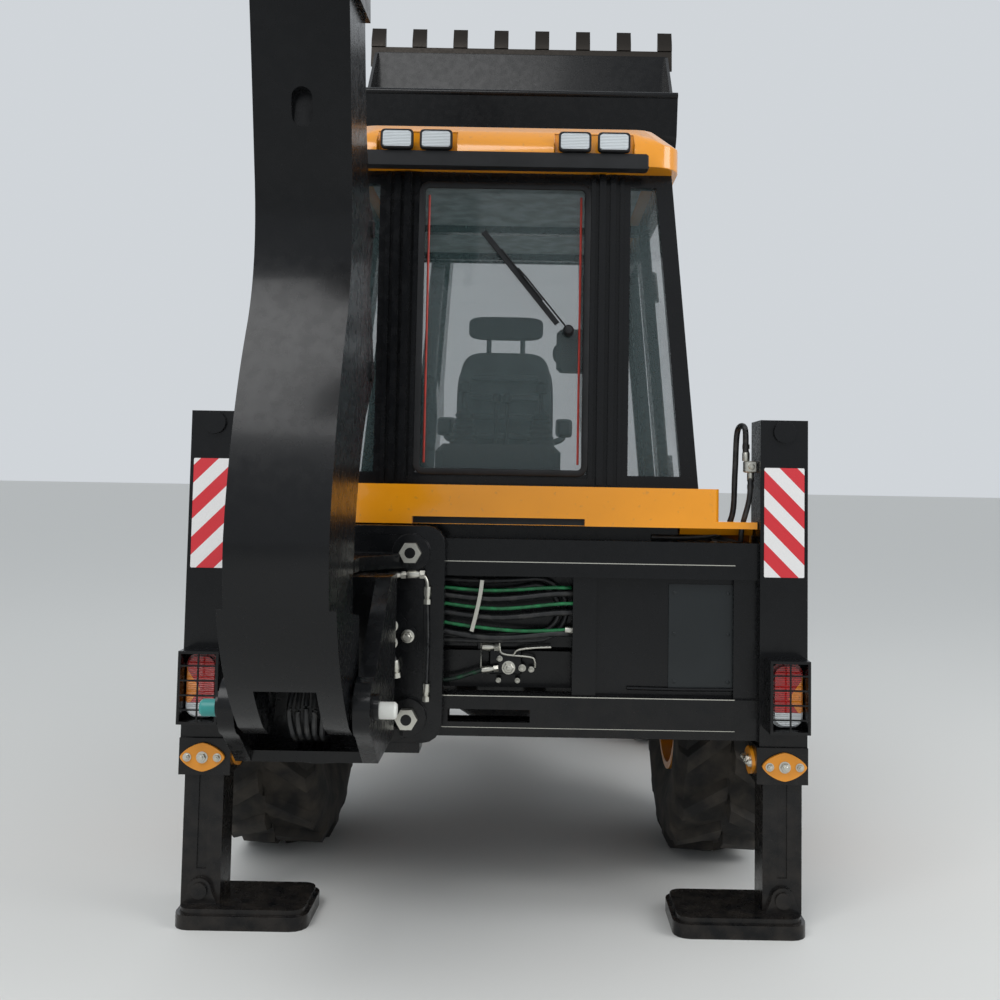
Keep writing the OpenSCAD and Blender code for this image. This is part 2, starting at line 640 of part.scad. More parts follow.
// Rim with its dish and a hub that runs on the spindle; out is the dish's place
module rim(s, y, r, w, rim, out, hub_in) {
    half = w / 2 - 40;
    color("#f2a21b") translate([s * track_half, y, r]) rotate([0, s * 90, 0]) difference() {
        union() {
            rotate_extrude() polygon([[rim, -half], [rim, half], [rim + 18, half], [rim + 18, half + 14],
                [rim - 12, half + 14], [rim - 30, half - 30], [rim - 30, -half + 30],
                [rim - 12, -half - 14], [rim + 18, -half - 14], [rim + 18, -half]]);
            rotate_extrude() polygon([[spindle_r + 20, out - 10], [rim * 0.55, out - 10], [rim - 29, out - 60],
                [rim - 29, out - 40], [rim * 0.55, out + 10], [spindle_r + 20, out + 10]]);
            translate([0, 0, hub_in - track_half + clear]) cylinder(r = 105, h = track_half - hub_in + out + 20);
            translate([0, 0, out + 19]) cylinder(r = 80, h = 42);
        }
        // Bore of the spindle
        translate([0, 0, -400]) cylinder(r = spindle_r + play, h = 400 + out + 40);
        // Hand holes lighten the dish
        for (a = [0:60:300]) rotate([0, 0, a]) translate([rim * 0.72, 0, out - 80]) cylinder(r = rim * 0.075, h = 120);
    }
}
module knuckle(s) {
    color("#2b2c2e") translate([s * kingpin_x, wheelbase, front_r]) {
        // Fork round the end of the beam, with its kingpin
        for (z = [47, -87]) translate([0, 0, z]) linear_extrude(40) union() {
            circle(r = 60);
            translate([s > 0 ? 0 : -90, -60]) square([90, 120]);
        }
        translate([0, 0, -80]) cylinder(r = 32, h = 160);
        translate([s > 0 ? 68 : -90, -60, -87]) cube([22, 120, 174]);
        translate([s * 70, 0, 0]) rotate([0, s * 90, 0]) cylinder(r = spindle_r, h = track_half - kingpin_x - 20);
    }
}
bonnet_axis = [2690, 1350];
module bonnet() {
    color("#f2a21b") difference() {
        union() {
            side(-375, 375) polygon([[1180, 870], [2683, 870], [2683, 1332], [2600, 1352], [1100, 1425]]);
            // Hinge barrels on the front edge
            for (s = SIDES) {
                xbar(12, s * 200 - 90, s * 200 + 90, bonnet_axis);
                block([s * 200 - 90, 2640, 1330], [s * 200 + 90, 2690, 1350]);
            }
        }
        side(-355, 355) polygon([[1000, 800], [2663, 800], [2663, 1312], [2598, 1332], [1000, 1405]]);
        xbar(6 + play, -400, 400, bonnet_axis);
        // Louvres in both sides
        for (i = [0:6]) block([-400, 1900 + i * 70, 1000], [400, 1925 + i * 70, 1180]);
    }
}

/* Loader */
arm_rest = acos(3 / 5);
lift_eye = [700, -130];
tilt_base = [520, 290];
lever_at = [2250, 80];
lever_len = 360;
lever_rest = 115;
link_pin = [20, 290];
bucket_rest = 85;
lever_top = along(lever_at, lever_rest, lever_len);
link_at = along([arm_len, 0], bucket_rest - arm_rest, link_pin[0], link_pin[1]);
ram_gap = 22;
link_bow = 46;

module arm_frame() {
    translate([0, arm_y, arm_z]) rotate([arm_rest, 0, 0]) children();
}
module bucket_frame() {
    arm_frame() translate([0, arm_len, 0]) rotate([bucket_rest - arm_rest, 0, 0]) children();
}
module loader_arms() {
    outline = concat(arc([0, 0], 105, 100, 260, 10), [[560, -90], [640, -185], [760, -185], [860, -60],
        [1300, -10], [1900, 0], [2300, -40]], arc([arm_len, 0], 80, -95, 95, 8),
        [[2350, 160], [1900, 190], [600, 185], [575, 330], [465, 330], [430, 160]]);
    color("#1f2022") arm_frame() {
        for (s = SIDES) difference() {
            side(s * arm_x - arm_w / 2, s * arm_x + arm_w / 2) polygon(outline);
            xbar(45 + play, -700, 700, [0, 0]);
            // Slots for the two rams
            block([s * arm_x - 36, 560, -300], [s * arm_x + 36, 800, -60]);
            block([s * arm_x - 34, 400, 215], [s * arm_x + 34, 640, 400]);
        }
        // Pins of the rams, the levers and the bucket
        for (s = SIDES) {
            for (x = [s * arm_x - 54, s * arm_x + ram_gap]) xbar(28, x, x + 32, lift_eye);
            xbar(24, s * arm_x - 54, s * arm_x + 54, tilt_base);
            xbar(30, s * arm_x - arm_w / 2 - 24, s * arm_x + arm_w / 2 + 24, lever_at);
            xbar(38, s * arm_x - arm_w / 2 - 40, s * arm_x + arm_w / 2 + 40, [arm_len, 0]);
        }
        xbar(70, -arm_x, arm_x, [2450, 18]);
    }
}
module loader_bucket() {
    shell = concat([[1050, -235], [260, -235]], arc([275, -70], 165, 265, 180, 5), [[110, 130]],
        arc([300, 170], 190, 170, 120, 4), [[470, 412]]);
    inner = concat([[455, 392]], arc([300, 170], 172, 120, 170, 4), [[128, 130]],
        arc([275, -70], 147, 180, 265, 5), [[1050, -217]]);
    plate = concat(shell, [[600, 130], [1010, -150]]);
    color("#1d1e20") bucket_frame() {
        side(-bucket_w / 2, bucket_w / 2) polygon(concat(shell, inner));
        for (s = SIDES) side(s > 0 ? bucket_w / 2 - 20 : -bucket_w / 2, s > 0 ? bucket_w / 2 : -bucket_w / 2 + 20)
            polygon(plate);
        // Round lip along the spill edge
        xbar(22, -bucket_w / 2, bucket_w / 2, [464, 400]);
        // Ribs down the back, by the lugs and near the ends
        for (s = SIDES) for (x = [arm_x - arm_w / 2 - 24, arm_x + arm_w / 2 + 24, bucket_w / 2 - 130])
            side(s * x - 12, s * x + 12)
                polygon(concat(arc([300, 170], 222, 166, 122, 5), arc([300, 170], 189, 122, 166, 5)));
        // Lugs beside each arm, with the bores of both pins
        for (s = SIDES) for (x = [s * arm_x - arm_w / 2 - 36, s * arm_x + arm_w / 2 + 12]) difference() {
            side(x, x + 24) polygon(concat(arc([0, 0], 75, 180, 270, 6), [[118, -110], [118, 210], [158, 300]],
                arc(link_pin, 50, 60, 190, 6)));
            xbar(38 + play, x - 1, x + 25, [0, 0]);
        }
    }
}
module bucket_teeth() {
    pitch = (edge_w - 105) / (teeth_n - 1);
    color("#8b8782") bucket_frame() {
        // Cutting edge plate under the floor's front, with its teeth
        block([-edge_w / 2, 950, -253], [edge_w / 2, 1100, -235.01]);
        for (i = [0:teeth_n - 1]) side(-edge_w / 2 + i * pitch, -edge_w / 2 + i * pitch + 105)
            polygon([[1060, -254], [1060, -280], [1120, -285], [1255, -262], [1255, -254], [1150, -225],
                [1101, -225], [1101, -254]]);
    }
}
// Outline of a bar with round ends about two pins
function bar(p, q, rp, rq) = let (a = atan2((q - p)[1], (q - p)[0]))
    concat(arc(p, rp, a + 90, a + 270), arc(q, rq, a - 90, a + 90));
// Bowed bar with an eye at p and at q; bow is how far its middle stands off to the right
module bowed(p, q, rp, rq, half, bow, n = 12) {
    u = (q - p) / norm(q - p);
    off = [u[1], -u[0]];
    mid = [for (i = [0:n]) let (t = i / n) p + (q - p) * t + off * bow * 4 * t * (1 - t)];
    polygon(concat([for (m = mid) m + off * half], [for (i = [n:-1:0]) mid[i] - off * half]));
    translate(p) circle(r = rp);
    translate(q) circle(r = rq);
}
// Cylinder of a ram, its eye at the origin and its tube along Y
module barrel(len, r, rod_r, eye_r, eye_w, pin_r, neck) {
    difference() {
        union() {
            xbar(eye_r, -eye_w / 2, eye_w / 2, [0, 0]);
            rotate([-90, 0, 0]) cylinder(r = min(r - 8, eye_w / 2 - 1), h = neck + 5);
            translate([0, neck, 0]) rotate([-90, 0, 0]) cylinder(r = r, h = len - neck);
            translate([0, len - 40, 0]) rotate([-90, 0, 0]) cylinder(r = r + 4, h = 40);
        }
        xbar(pin_r + play, -eye_w, eye_w, [0, 0]);
        translate([0, neck + 5, 0]) rotate([-90, 0, 0]) cylinder(r = rod_r + play, h = len);
    }
}
// Piston rod along Y, from inside its cylinder to the eye's middle
module rod(from, to, rod_r, eye_r, eye_w) {
    translate([0, from, 0]) rotate([-90, 0, 0]) cylinder(r = rod_r, h = to - from - eye_r + 8);
    xbar(eye_r, -eye_w / 2, eye_w / 2, [to, 0]);
}
// Puts a ram's eye at one point of the machine, aimed at another
module aim(x, p, q) {
    translate([x, p[0], p[1]]) rotate([atan2((q - p)[1], (q - p)[0]), 0, 0]) children();
}
lift_top = [arm_y, arm_z] + along([0, 0], arm_rest, lift_eye[0], lift_eye[1]);
lift_len = norm(lift_top - lift_base);
module lift_barrels() {
    color("#2b2c2e") for (s = SIDES) aim(s * arm_x, lift_base, lift_top)
        barrel(860, 50, 30, 60, 100, 32, 70);
}
module lift_rods() {
    color("#c9ccce") for (s = SIDES) aim(s * arm_x, lift_base, lift_top)
        rod(780, lift_len, 30, 44, 40);
}
module tilt_barrels() {
    color("#2b2c2e") arm_frame() for (s = SIDES) aim(s * arm_x, tilt_base, lever_top)
        barrel(1440, 42, 25, 45, 60, 24, 80);
}
module tilt_rods() {
    color("#c9ccce") arm_frame() for (s = SIDES) aim(s * arm_x, tilt_base, lever_top)
        rod(100, norm(lever_top - tilt_base), 25, 40, 40);
}
module tilt_levers() {
    color("#2b2c2e") arm_frame() for (s = SIDES) for (t = SIDES) {
        near = s * arm_x + (t > 0 ? arm_w / 2 + clear : -arm_w / 2 - clear - 16);
        difference() {
            union() {
                side(near, near + 16) polygon(bar(lever_at, lever_top, 55, 42));
                xbar(22, t > 0 ? near - 16 : near, t > 0 ? near + 16 : near + 32, lever_top);
            }
            xbar(30 + play, near - 1, near + 17, lever_at);
        }
    }
}
module tilt_links() {
    color("#2b2c2e") arm_frame() for (s = SIDES) for (t = SIDES) {
        near = s * arm_x + (t > 0 ? 25 : -41);
        difference() {
            side(near, near + 16) bowed(link_at, lever_top, 46, 40, 34, link_bow);
            xbar(25 + play, near - 1, near + 17, link_at);
        }
    }
}

/* Backhoe */
boom_pivot = [pivot_y, pivot_z];
boom_top = [pivot_y - 230, 3780];
hump = [pivot_y + 320, 2010];
boom_ram_base = [pivot_y + 290, 1120];
dipper_ram_base = [pivot_y + 250, 2480];
dipper_rest = 175;
tail = along(boom_top, dipper_rest, -297, -297);
module carriage() {
    half = carriage_w / 2;
    color("#232427") translate([carriage_x, 0, 0]) difference() {
        union() {
            translate([0, frame_y - 6, (678 + 1478) / 2]) rotate([90, 0, 0])
                linear_extrude(70) polygon(rounded(carriage_w, 1478 - 678, 70));
            // Hooks over and under the rails
            block([-half + 80, frame_y - 60, top_rail_z + top_rail_h + slide_gap], [half - 80, frame_y + 40, 1478]);
            block([-half + 80, frame_y - 60, 640], [half - 80, frame_y + 40, 684]);
            block([-half + 80, frame_y - 70, 640], [half - 80, frame_y - 6, 700]);
            // Lugs of the kingpost
            for (z = [700, 1325]) translate([0, 0, z]) linear_extrude(50)
                polygon(concat([[-260, frame_y - 70], [-95, swing_y + 75]], arc([0, swing_y], 95, 180, 360, 12),
                    [[95, swing_y + 75], [260, frame_y - 70]]));
            // Clamp bosses with their nuts
            for (x = [-250, 250]) for (z = [774, 1380]) translate([x, frame_y - 75, z]) rotate([90, 0, 0]) {
                cylinder(r = 70, h = 30);
                translate([0, 0, 29]) cylinder(r = 40, h = 32, $fn = 6);
            }
        }
        translate([0, swing_y, 600]) cylinder(r = 50 + play, h = 900);
    }
}
module kingpost() {
    cheek = concat([[swing_y + 90, 755], [swing_y + 90, 1320], [swing_y - 90, 1320]],
        [[swing_y - 240, 1200]], arc(boom_pivot, 90, 75, 260), [[pivot_y + 150, 755]]);
    color("#232427") translate([carriage_x, 0, 0]) {
        for (s = SIDES) side(s > 0 ? 175 : -225, s > 0 ? 225 : -175) polygon(cheek);
        block([-176, swing_y - 90, 755], [176, swing_y + 90, 1320]);
        block([-176, pivot_y + 150, 755], [176, swing_y - 80, 790]);
        // Kingpins, boom pins and the pin of the boom's ram
        for (z = [[700, 60], [1315, 60]]) translate([0, swing_y, z[0]]) cylinder(r = 50, h = z[1]);
        for (s = SIDES) xbar(40, s > 0 ? 95 : -245, s > 0 ? 245 : -95, boom_pivot);
        for (s = SIDES) side(s > 0 ? 62 : -87, s > 0 ? 87 : -62)
            polygon(concat([[swing_y - 80, 1050]], [[boom_ram_base[0] + 30, 1040]],
                arc(boom_ram_base, 60, 230, 60), [[swing_y - 80, 1200]]));
        xbar(35, -88, 88, boom_ram_base);
    }
}
// Curve through a bend, from a to c with its corner at b
function bend(a, b, c, n = 6) = [for (i = [0:n]) let (t = i / n)
    a * (1 - t) * (1 - t) + b * 2 * t * (1 - t) + c * t * t];
foot_room = 225;
foot_arch = 68;
recess_deep = 16;
module boom() {
    py = pivot_y;
    outline = concat(
        bend([py - 75, 910], [py - 390, 1160], [py - 380, 1480], 10),
        bend([py - 372, 1560], [py - 330, 1830], [py - 215, 2060], 8),
        bend([py - 190, 2110], [py - 110, 2290], [py - 165, 2520], 8),
        bend([py - 178, 2570], [py - 260, 2900], [py - 350, 3200], 8),
        arc(boom_top, 115, 190, -10, 8),
        bend([py - 70, 3400], [py, 3000], [py + 90, 2750], 4),
        [[py + 190, 2560]], arc(dipper_ram_base, 58, 40, -40, 4),
        [[py + 250, 2300]], arc(hump, 70, 30, -70, 5),
        bend([py + 230, 1850], [py + 70, 1650], [py + 50, 1350], 5),
        [[py + 85, 1100]], arc(boom_pivot, 85, 0, -90, 5));
    color("#1d1e20") translate([carriage_x, 0, 0]) difference() {
        union() {
            side(-boom_w / 2, boom_w / 2) polygon(outline);
            // Wider cheeks at the foot and at the head
            for (s = SIDES) {
                side(s > 0 ? 100 : -165, s > 0 ? 165 : -100) intersection() {
                    polygon(outline);
                    polygon([[py - 600, 800], [py + 400, 800], [py + 400, 1180], [py - 600, 1320]]);
                }
                side(s > 0 ? 100 : -162, s > 0 ? 162 : -100) intersection() {
                    polygon(outline);
                    polygon([[py - 600, 3030], [py + 400, 3110], [py + 400, 4000], [py - 600, 4000]]);
                }
            }
        }
        // Fork for the dipper, fork of the foot and slots of the rams
        block([-92, py - 600, 3220], [92, py + 400, 4000]);
        xbar(foot_room, -90, 90, boom_pivot);
        side(-90, 90) polygon([[py - 60, 750], [py + 400, 750], [py + 400, 1180], [py + 80, 1180],
            [py - 60, 1130]]);
        // Arch in the plate that closes the foot from behind
        translate([0, py, 962]) rotate([90, 0, 0]) cylinder(r = foot_arch, h = 500);
        block([-foot_arch, py - 500, 750], [foot_arch, py, 962]);
        // Recess in the back of the box
        translate([0, py - 212 + recess_deep, 2735]) rotate([90, 0, 0]) linear_extrude(200)
            polygon(rounded(62, 110, 30.9, 8));
        block([-42, hump[0] - 110, hump[1] - 140], [42, hump[0] + 200, hump[1] + 100]);
        block([-42, dipper_ram_base[0] - 70, dipper_ram_base[1] - 80],
            [42, dipper_ram_base[0] + 200, dipper_ram_base[1] + 160]);
        block([-56, dipper_ram_base[0] - 100, dipper_ram_base[1] + 72],
            [56, dipper_ram_base[0] + 200, dipper_ram_base[1] + 200]);
        xbar(40 + play, -300, 300, boom_pivot);
    }
    color("#1d1e20") translate([carriage_x, 0, 0]) {
        xbar(42, -172, 172, boom_top);
        xbar(30, -boom_w / 2 - 8, boom_w / 2 + 8, dipper_ram_base);
        for (s = SIDES) xbar(34, s > 0 ? 24 : -boom_w / 2 - 8, s > 0 ? boom_w / 2 + 8 : -24, hump);
    }
}
module boom_barrel() {
    color("#2b2c2e") aim(carriage_x, boom_ram_base, hump) barrel(730, 52, 32, 58, 110, 35, 70);
}
module boom_rod() {
    color("#c9ccce") aim(carriage_x, boom_ram_base, hump)
        rod(90, norm(hump - boom_ram_base), 32, 52, 42);
}
module dipper_frame() {
    translate([carriage_x, boom_top[0], boom_top[1]]) rotate([dipper_rest, 0, 0]) children();
}
hoe_lever_at = [1250, -20];
hoe_lever_top = along(hoe_lever_at, -85.6, 430);
hoe_ram_base = [120, -330];
hoe_rest = 100;
hoe_link_at = along([dipper_len, 0], hoe_rest - 170, 260);
module dipper() {
    outline = concat(arc([-297, -297], 55, 130, 250, 6), [[60, -372]], arc(hoe_ram_base, 52, -80, 20, 4),
        [[260, -210], [700, -130], [1300, -75]], arc([dipper_len, 0], 60, -85, 85, 8),
        [[1300, 70], [600, 95], [60, 95]], arc([0, 0], 95, 90, 160, 4));
    half = dipper_w / 2;
    color("#1d1e20") dipper_frame() {
        difference() {
            side(-half, half) polygon(outline);
            xbar(42 + play, -200, 200, [0, 0]);
            // Slot that the ram's eye swings in
            side(-36, 36) polygon([[-420, -420], [-235, -420], [-235, -310], [-40, 60], [-40, 110],
                [-420, 110]]);
            block([-36, 40, -450], [36, 260, -262]);
        }
        for (s = SIDES) xbar(28, s > 0 ? 29 : -half - 8, s > 0 ? half + 8 : -29, [-297, -297]);
        xbar(26, -half - 8, half + 8, hoe_ram_base);
        xbar(30, -half - 25, half + 25, hoe_lever_at);
        xbar(35, -half - 40, half + 40, [dipper_len, 0]);
    }
}
module dipper_barrel() {
    color("#2b2c2e") aim(carriage_x, dipper_ram_base, tail) barrel(980, 48, 28, 52, 76, 30, 90);
}
module dipper_rod() {
    color("#c9ccce") aim(carriage_x, dipper_ram_base, tail)
        rod(540, norm(tail - dipper_ram_base), 28, 46, 40);
}
module hoe_barrel() {
    color("#2b2c2e") dipper_frame() aim(0, hoe_ram_base, hoe_lever_top) barrel(760, 42, 25, 46, 66, 26, 80);
}
module hoe_rod() {
    color("#c9ccce") dipper_frame() aim(0, hoe_ram_base, hoe_lever_top)
        rod(400, norm(hoe_lever_top - hoe_ram_base), 25, 42, 40);
}
module hoe_lever() {
    half = dipper_w / 2;
    color("#2b2c2e") dipper_frame() for (t = SIDES) {
        near = t > 0 ? half + clear : -half - clear - 16;
        difference() {
            union() {
                side(near, near + 16) polygon(bar(hoe_lever_at, hoe_lever_top, 55, 42));
                xbar(26, t > 0 ? 54 : near, t > 0 ? near + 16 : -54, hoe_lever_top);
            }
            xbar(30 + play, near - 1, near + 17, hoe_lever_at);
        }
    }
}
module hoe_link() {
    color("#2b2c2e") dipper_frame() for (t = SIDES) difference() {
        side(t > 0 ? 26 : -50, t > 0 ? 50 : -26) polygon(bar(hoe_link_at, hoe_lever_top, 44, 42));
        xbar(30 + play, -60, 60, hoe_link_at);
    }
}
module hoe_bucket() {
    half = hoe_w / 2;
    shell = concat(hoe_shell(400), [[900, 0], [882, -18]], [for (i = [10:-1:0]) hoe_shell(382)[i]]);
    plate = concat(hoe_shell(400), [[900, 0], [600, 60]]);
    color("#4a4642") dipper_frame() translate([0, dipper_len, 0]) rotate([hoe_rest, 0, 0]) {
        side(-half, half) polygon(shell);
        for (s = SIDES) side(s > 0 ? half - 16 : -half, s > 0 ? half : -half + 16) polygon(plate);
        // Ears with the bores of both pins
        for (t = SIDES) difference() {
            side(t > 0 ? 92 : -117, t > 0 ? 117 : -92) polygon(concat(
                arc(along([0, 0], -170, 260), 46, 100, 280, 6), [[150, -205], [96, -52], [74, 0]],
                arc([0, 0], 62, 30, 120, 5)));
            xbar(35 + play, -200, 200, [0, 0]);
        }
        xbar(30, -117, 117, along([0, 0], -170, 260));
        for (i = [-2:2]) side(i * (half - 40) / 2 - 30, i * (half - 40) / 2 + 30)
            polygon([[870, -6], [870, -40], [1010, 8], [1005, 20]]);
    }
}

// Middle of the whole length counted from the rear axle, which is where the origin stands
hoe_pin = along(boom_top, dipper_rest, dipper_len);
hoe_back = min([for (p = hoe_shell(400)) along(hoe_pin, dipper_rest + hoe_rest, p[0], p[1])[0]]);
middle_y = (nose_front + hoe_back) / 2;

place() chassis();
place() rear_frame();
place() axles();
place() engine();
place() nose();
place() tanks();
place() exhaust();
place() cab_frame();
place() cab_roof();
place() cab_glass();
place() rear_body();
place() seat();
place() console();
place() work_lamps();
place() tail_lamps();
place() lamp_guards();
place() hose_loop();
place() bonnet();
place() door(-1);  // door_left
place() door(1);  // door_right
place() door_glass(-1);  // door_glass_left
place() door_glass(1);  // door_glass_right
place() tyre(-1, 0, rear_r, rear_w, rear_rim, 17);  // rear_tyre_left
place() rim(-1, 0, rear_r, rear_w, rear_rim, 20, 690);  // rear_rim_left
place() tyre(1, 0, rear_r, rear_w, rear_rim, 17);  // rear_tyre_right
place() rim(1, 0, rear_r, rear_w, rear_rim, 20, 690);  // rear_rim_right
place() tyre(-1, wheelbase, front_r, front_w, front_rim, 13);  // front_tyre_left
place() rim(-1, wheelbase, front_r, front_w, front_rim, 10, 805);  // front_rim_left
place() tyre(1, wheelbase, front_r, front_w, front_rim, 13);  // front_tyre_right
place() rim(1, wheelbase, front_r, front_w, front_rim, 10, 805);  // front_rim_right
place() knuckle(-1);  // knuckle_left
place() knuckle(1);  // knuckle_right
place() loader_arms();
place() loader_bucket();
place() bucket_teeth();
place() lift_barrels();
place() lift_rods();
place() tilt_barrels();
place() tilt_rods();
place() tilt_levers();
place() tilt_links();
place() carriage();
place() kingpost();
place() boom();
place() boom_barrel();
place() boom_rod();
place() dipper();
place() dipper_barrel();
place() dipper_rod();
place() hoe_barrel();
place() hoe_rod();
place() hoe_lever();
place() hoe_link();
place() hoe_bucket();
place() stabiliser(-1);  // leg_left
place() stabiliser(1);  // leg_right
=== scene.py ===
"""Finishes and small fittings of a sideshift backhoe loader, seen from behind.

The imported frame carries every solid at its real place, in metres. X points to the
machine's right, Y forwards and Z up. Each function below makes one kind of piece or one
finish, and its docstring says by what formula.
"""
import json
import math

import bmesh
import bpy
import numpy as np
from mathutils import Matrix, Vector


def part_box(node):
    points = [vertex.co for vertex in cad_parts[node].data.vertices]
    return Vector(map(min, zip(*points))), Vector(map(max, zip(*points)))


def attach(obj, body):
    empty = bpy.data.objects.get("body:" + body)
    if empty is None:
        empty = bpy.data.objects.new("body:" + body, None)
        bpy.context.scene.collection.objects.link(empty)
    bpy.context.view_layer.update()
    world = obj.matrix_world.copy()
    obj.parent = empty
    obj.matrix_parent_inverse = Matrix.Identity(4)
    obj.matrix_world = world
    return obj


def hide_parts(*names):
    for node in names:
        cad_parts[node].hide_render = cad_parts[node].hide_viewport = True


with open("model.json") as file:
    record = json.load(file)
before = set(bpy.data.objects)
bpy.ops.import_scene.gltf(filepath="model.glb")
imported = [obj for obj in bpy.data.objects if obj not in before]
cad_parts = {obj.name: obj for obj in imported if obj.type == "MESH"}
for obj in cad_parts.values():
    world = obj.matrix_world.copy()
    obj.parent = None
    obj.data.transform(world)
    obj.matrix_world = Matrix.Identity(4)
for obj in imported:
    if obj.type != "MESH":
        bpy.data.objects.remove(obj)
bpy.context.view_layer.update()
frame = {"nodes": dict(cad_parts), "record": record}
NODES = frame["nodes"]

SIDES = (-1, 1)
LEFT_RIGHT = ((-1, "left"), (1, "right"))
ACROSS = (1, 0, 0)
FORWARDS = (0, 1, 0)
BACKWARDS = (0, -1, 0)
UPWARDS = (0, 0, 1)
DOWNWARDS = (0, 0, -1)

# Places that the fittings are set out from
AXLE_Y = sum(corner[1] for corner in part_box("rear_rim_left")) / 2
CARRIAGE_X = sum(corner[0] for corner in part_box("carriage")) / 2
SLEEVE_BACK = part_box("lamp_guards")[1][1]
GLASS_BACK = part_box("cab_glass")[0][1]

# Solids whose plates have their sharp edges rounded by a width
PLATES = ("boom", "rear_frame", "carriage", "kingpost", "leg_left", "leg_right", "loader_arms", "dipper",
          "loader_bucket", "cab_roof")
PLATE_EDGE = 0.003

# Settings and sockets of a colour mix, whose sockets share their names and so go by number
COLOUR = {"data_type": "RGBA"}
FACTOR = 0
FIRST = 6
SECOND = 7
MIXED = 2


# Camera and light


def photo_camera():
    """Stands where the photo was taken: behind the machine at eye height, tilted up a little."""
    frame_px = 1000
    focal_px = 1123
    # Where the lens's axis meets the picture
    axis_down_px = 413
    axis_across_px = 531
    behind_frame = 4.255
    pitch_up = math.radians(3.6)
    roll = math.radians(1.0)
    data = bpy.data.cameras.new("photo_camera")
    camera = bpy.data.objects.new("photo_camera", data)
    bpy.context.scene.collection.objects.link(camera)
    data.sensor_width = 36
    data.lens = data.sensor_width * focal_px / frame_px
    data.shift_y = (axis_down_px - frame_px / 2) / frame_px
    data.shift_x = (frame_px / 2 - axis_across_px) / frame_px
    rear_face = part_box("rear_frame")[0][1]
    place = Vector((0.117, rear_face - behind_frame, 1.643))
    turn = Matrix.Rotation(math.pi / 2 + pitch_up, 4, "X") @ Matrix.Rotation(roll, 4, "Z")
    camera.matrix_world = Matrix.Translation(place) @ turn
    bpy.context.scene.camera = camera


def soft_light(name, place, aim, size, power):
    """Adds a square lamp of the given size in metres, turned towards a point."""
    data = bpy.data.lights.new(name, "AREA")
    data.size = size
    data.energy = power
    lamp = bpy.data.objects.new(name, data)
    bpy.context.scene.collection.objects.link(lamp)
    towards = (Vector(aim) - Vector(place)).to_track_quat("-Z", "Y")
    lamp.matrix_world = Matrix.Translation(Vector(place)) @ towards.to_matrix().to_4x4()


def studio():
    """Plain light: an even pale sky, a large lamp high behind the machine and a weaker one at its right."""
    world = bpy.data.worlds.new("studio")
    world.use_nodes = True
    bpy.context.scene.world = world
    sky = world.node_tree.nodes["Background"]
    sky.inputs["Color"].default_value = linear("#e6ebf0")
    sky.inputs["Strength"].default_value = 0.8
    soft_light("sky_panel", (-3, -7, 9), (0, -1, 1.5), 6, 520)
    soft_light("side_panel", (7, -3, 5), (0, 0, 1.5), 4, 220)


def ground():
    """Flat pale floor, wide enough to end at the horizon."""
    half = 300.0
    made = bpy.data.meshes.new("studio_ground")
    corners = [(-half, -half, 0), (half, -half, 0), (half, half, 0), (-half, half, 0)]
    made.from_pydata(corners, [], [(0, 1, 2, 3)])
    floor = bpy.data.objects.new("studio_ground", made)
    bpy.context.scene.collection.objects.link(floor)
    made.materials.append(stage_paper("pale_paper", "#d9d9d6"))


# Finishes


def linear(code, tone=1.0):
    """Turns an sRGB hex code into a linear colour, times a tone that darkens or lightens it."""
    parts = np.array([int(code[i:i + 2], 16) for i in (1, 3, 5)]) / 255
    flat = np.where(parts <= 0.04045, parts / 12.92, ((parts + 0.055) / 1.055) ** 2.4)
    return (*(tone * flat).tolist(), 1.0)


def add(tree, kind, settings=(), inputs=()):
    """Adds a node, gives it its settings, and sets or links each of its inputs."""
    made = tree.nodes.new(kind)
    for name, value in dict(settings).items():
        setattr(made, name, value)
    for key, value in dict(inputs).items():
        if isinstance(value, bpy.types.NodeSocket):
            tree.links.new(value, made.inputs[key])
        else:
            made.inputs[key].default_value = value
    return made


def finish(name, **shader):
    """Starts a material with its main shader, and gives back the material, tree and shader."""
    made = bpy.data.materials.new(name)
    made.use_nodes = True
    tree = made.node_tree
    main = tree.nodes["Principled BSDF"]
    for key, value in shader.items():
        main.inputs[key.replace("_", " ")].default_value = value
    return made, tree, main


def blotches(tree, size_mm, detail=4.0, low=0.4, high=0.6):
    """Soft patches of a real size in millimetres: noise stretched to 0 at low and 1 at high."""
    coords = add(tree, "ShaderNodeTexCoord")
    noise = add(tree, "ShaderNodeTexNoise",
                inputs={"Vector": coords.outputs["Object"], "Scale": 1000 / size_mm, "Detail": detail})
    return add(tree, "ShaderNodeMapRange",
               inputs={"Value": noise.outputs[0], "From Min": low, "From Max": high}).outputs[0]


def dust_low_down(tree, top, reach):
    """Road dust that grows from nothing at one height to full near the ground, in patches."""
    coords = add(tree, "ShaderNodeTexCoord")
    split = add(tree, "ShaderNodeSeparateXYZ", inputs={0: coords.outputs["Object"]})
    height = add(tree, "ShaderNodeMapRange",
                 inputs={"Value": split.outputs["Z"], "From Min": top, "From Max": top - reach})
    patches = blotches(tree, 60, detail=6.0, low=0.3, high=0.8)
    amount = add(tree, "ShaderNodeMath", {"operation": "MULTIPLY"}, {0: height.outputs[0], 1: patches})
    return amount.outputs[0]


def rippled(tree, main, size_mm, depth_mm, detail=2.0):
    """Gives the surface fine waves of a real size and depth."""
    coords = add(tree, "ShaderNodeTexCoord")
    noise = add(tree, "ShaderNodeTexNoise",
                inputs={"Vector": coords.outputs["Object"], "Scale": 1000 / size_mm, "Detail": detail})
    bump = add(tree, "ShaderNodeBump",
               inputs={"Height": noise.outputs[0], "Distance": depth_mm / 1000, "Strength": 0.6})
    tree.links.new(bump.outputs[0], main.inputs["Normal"])


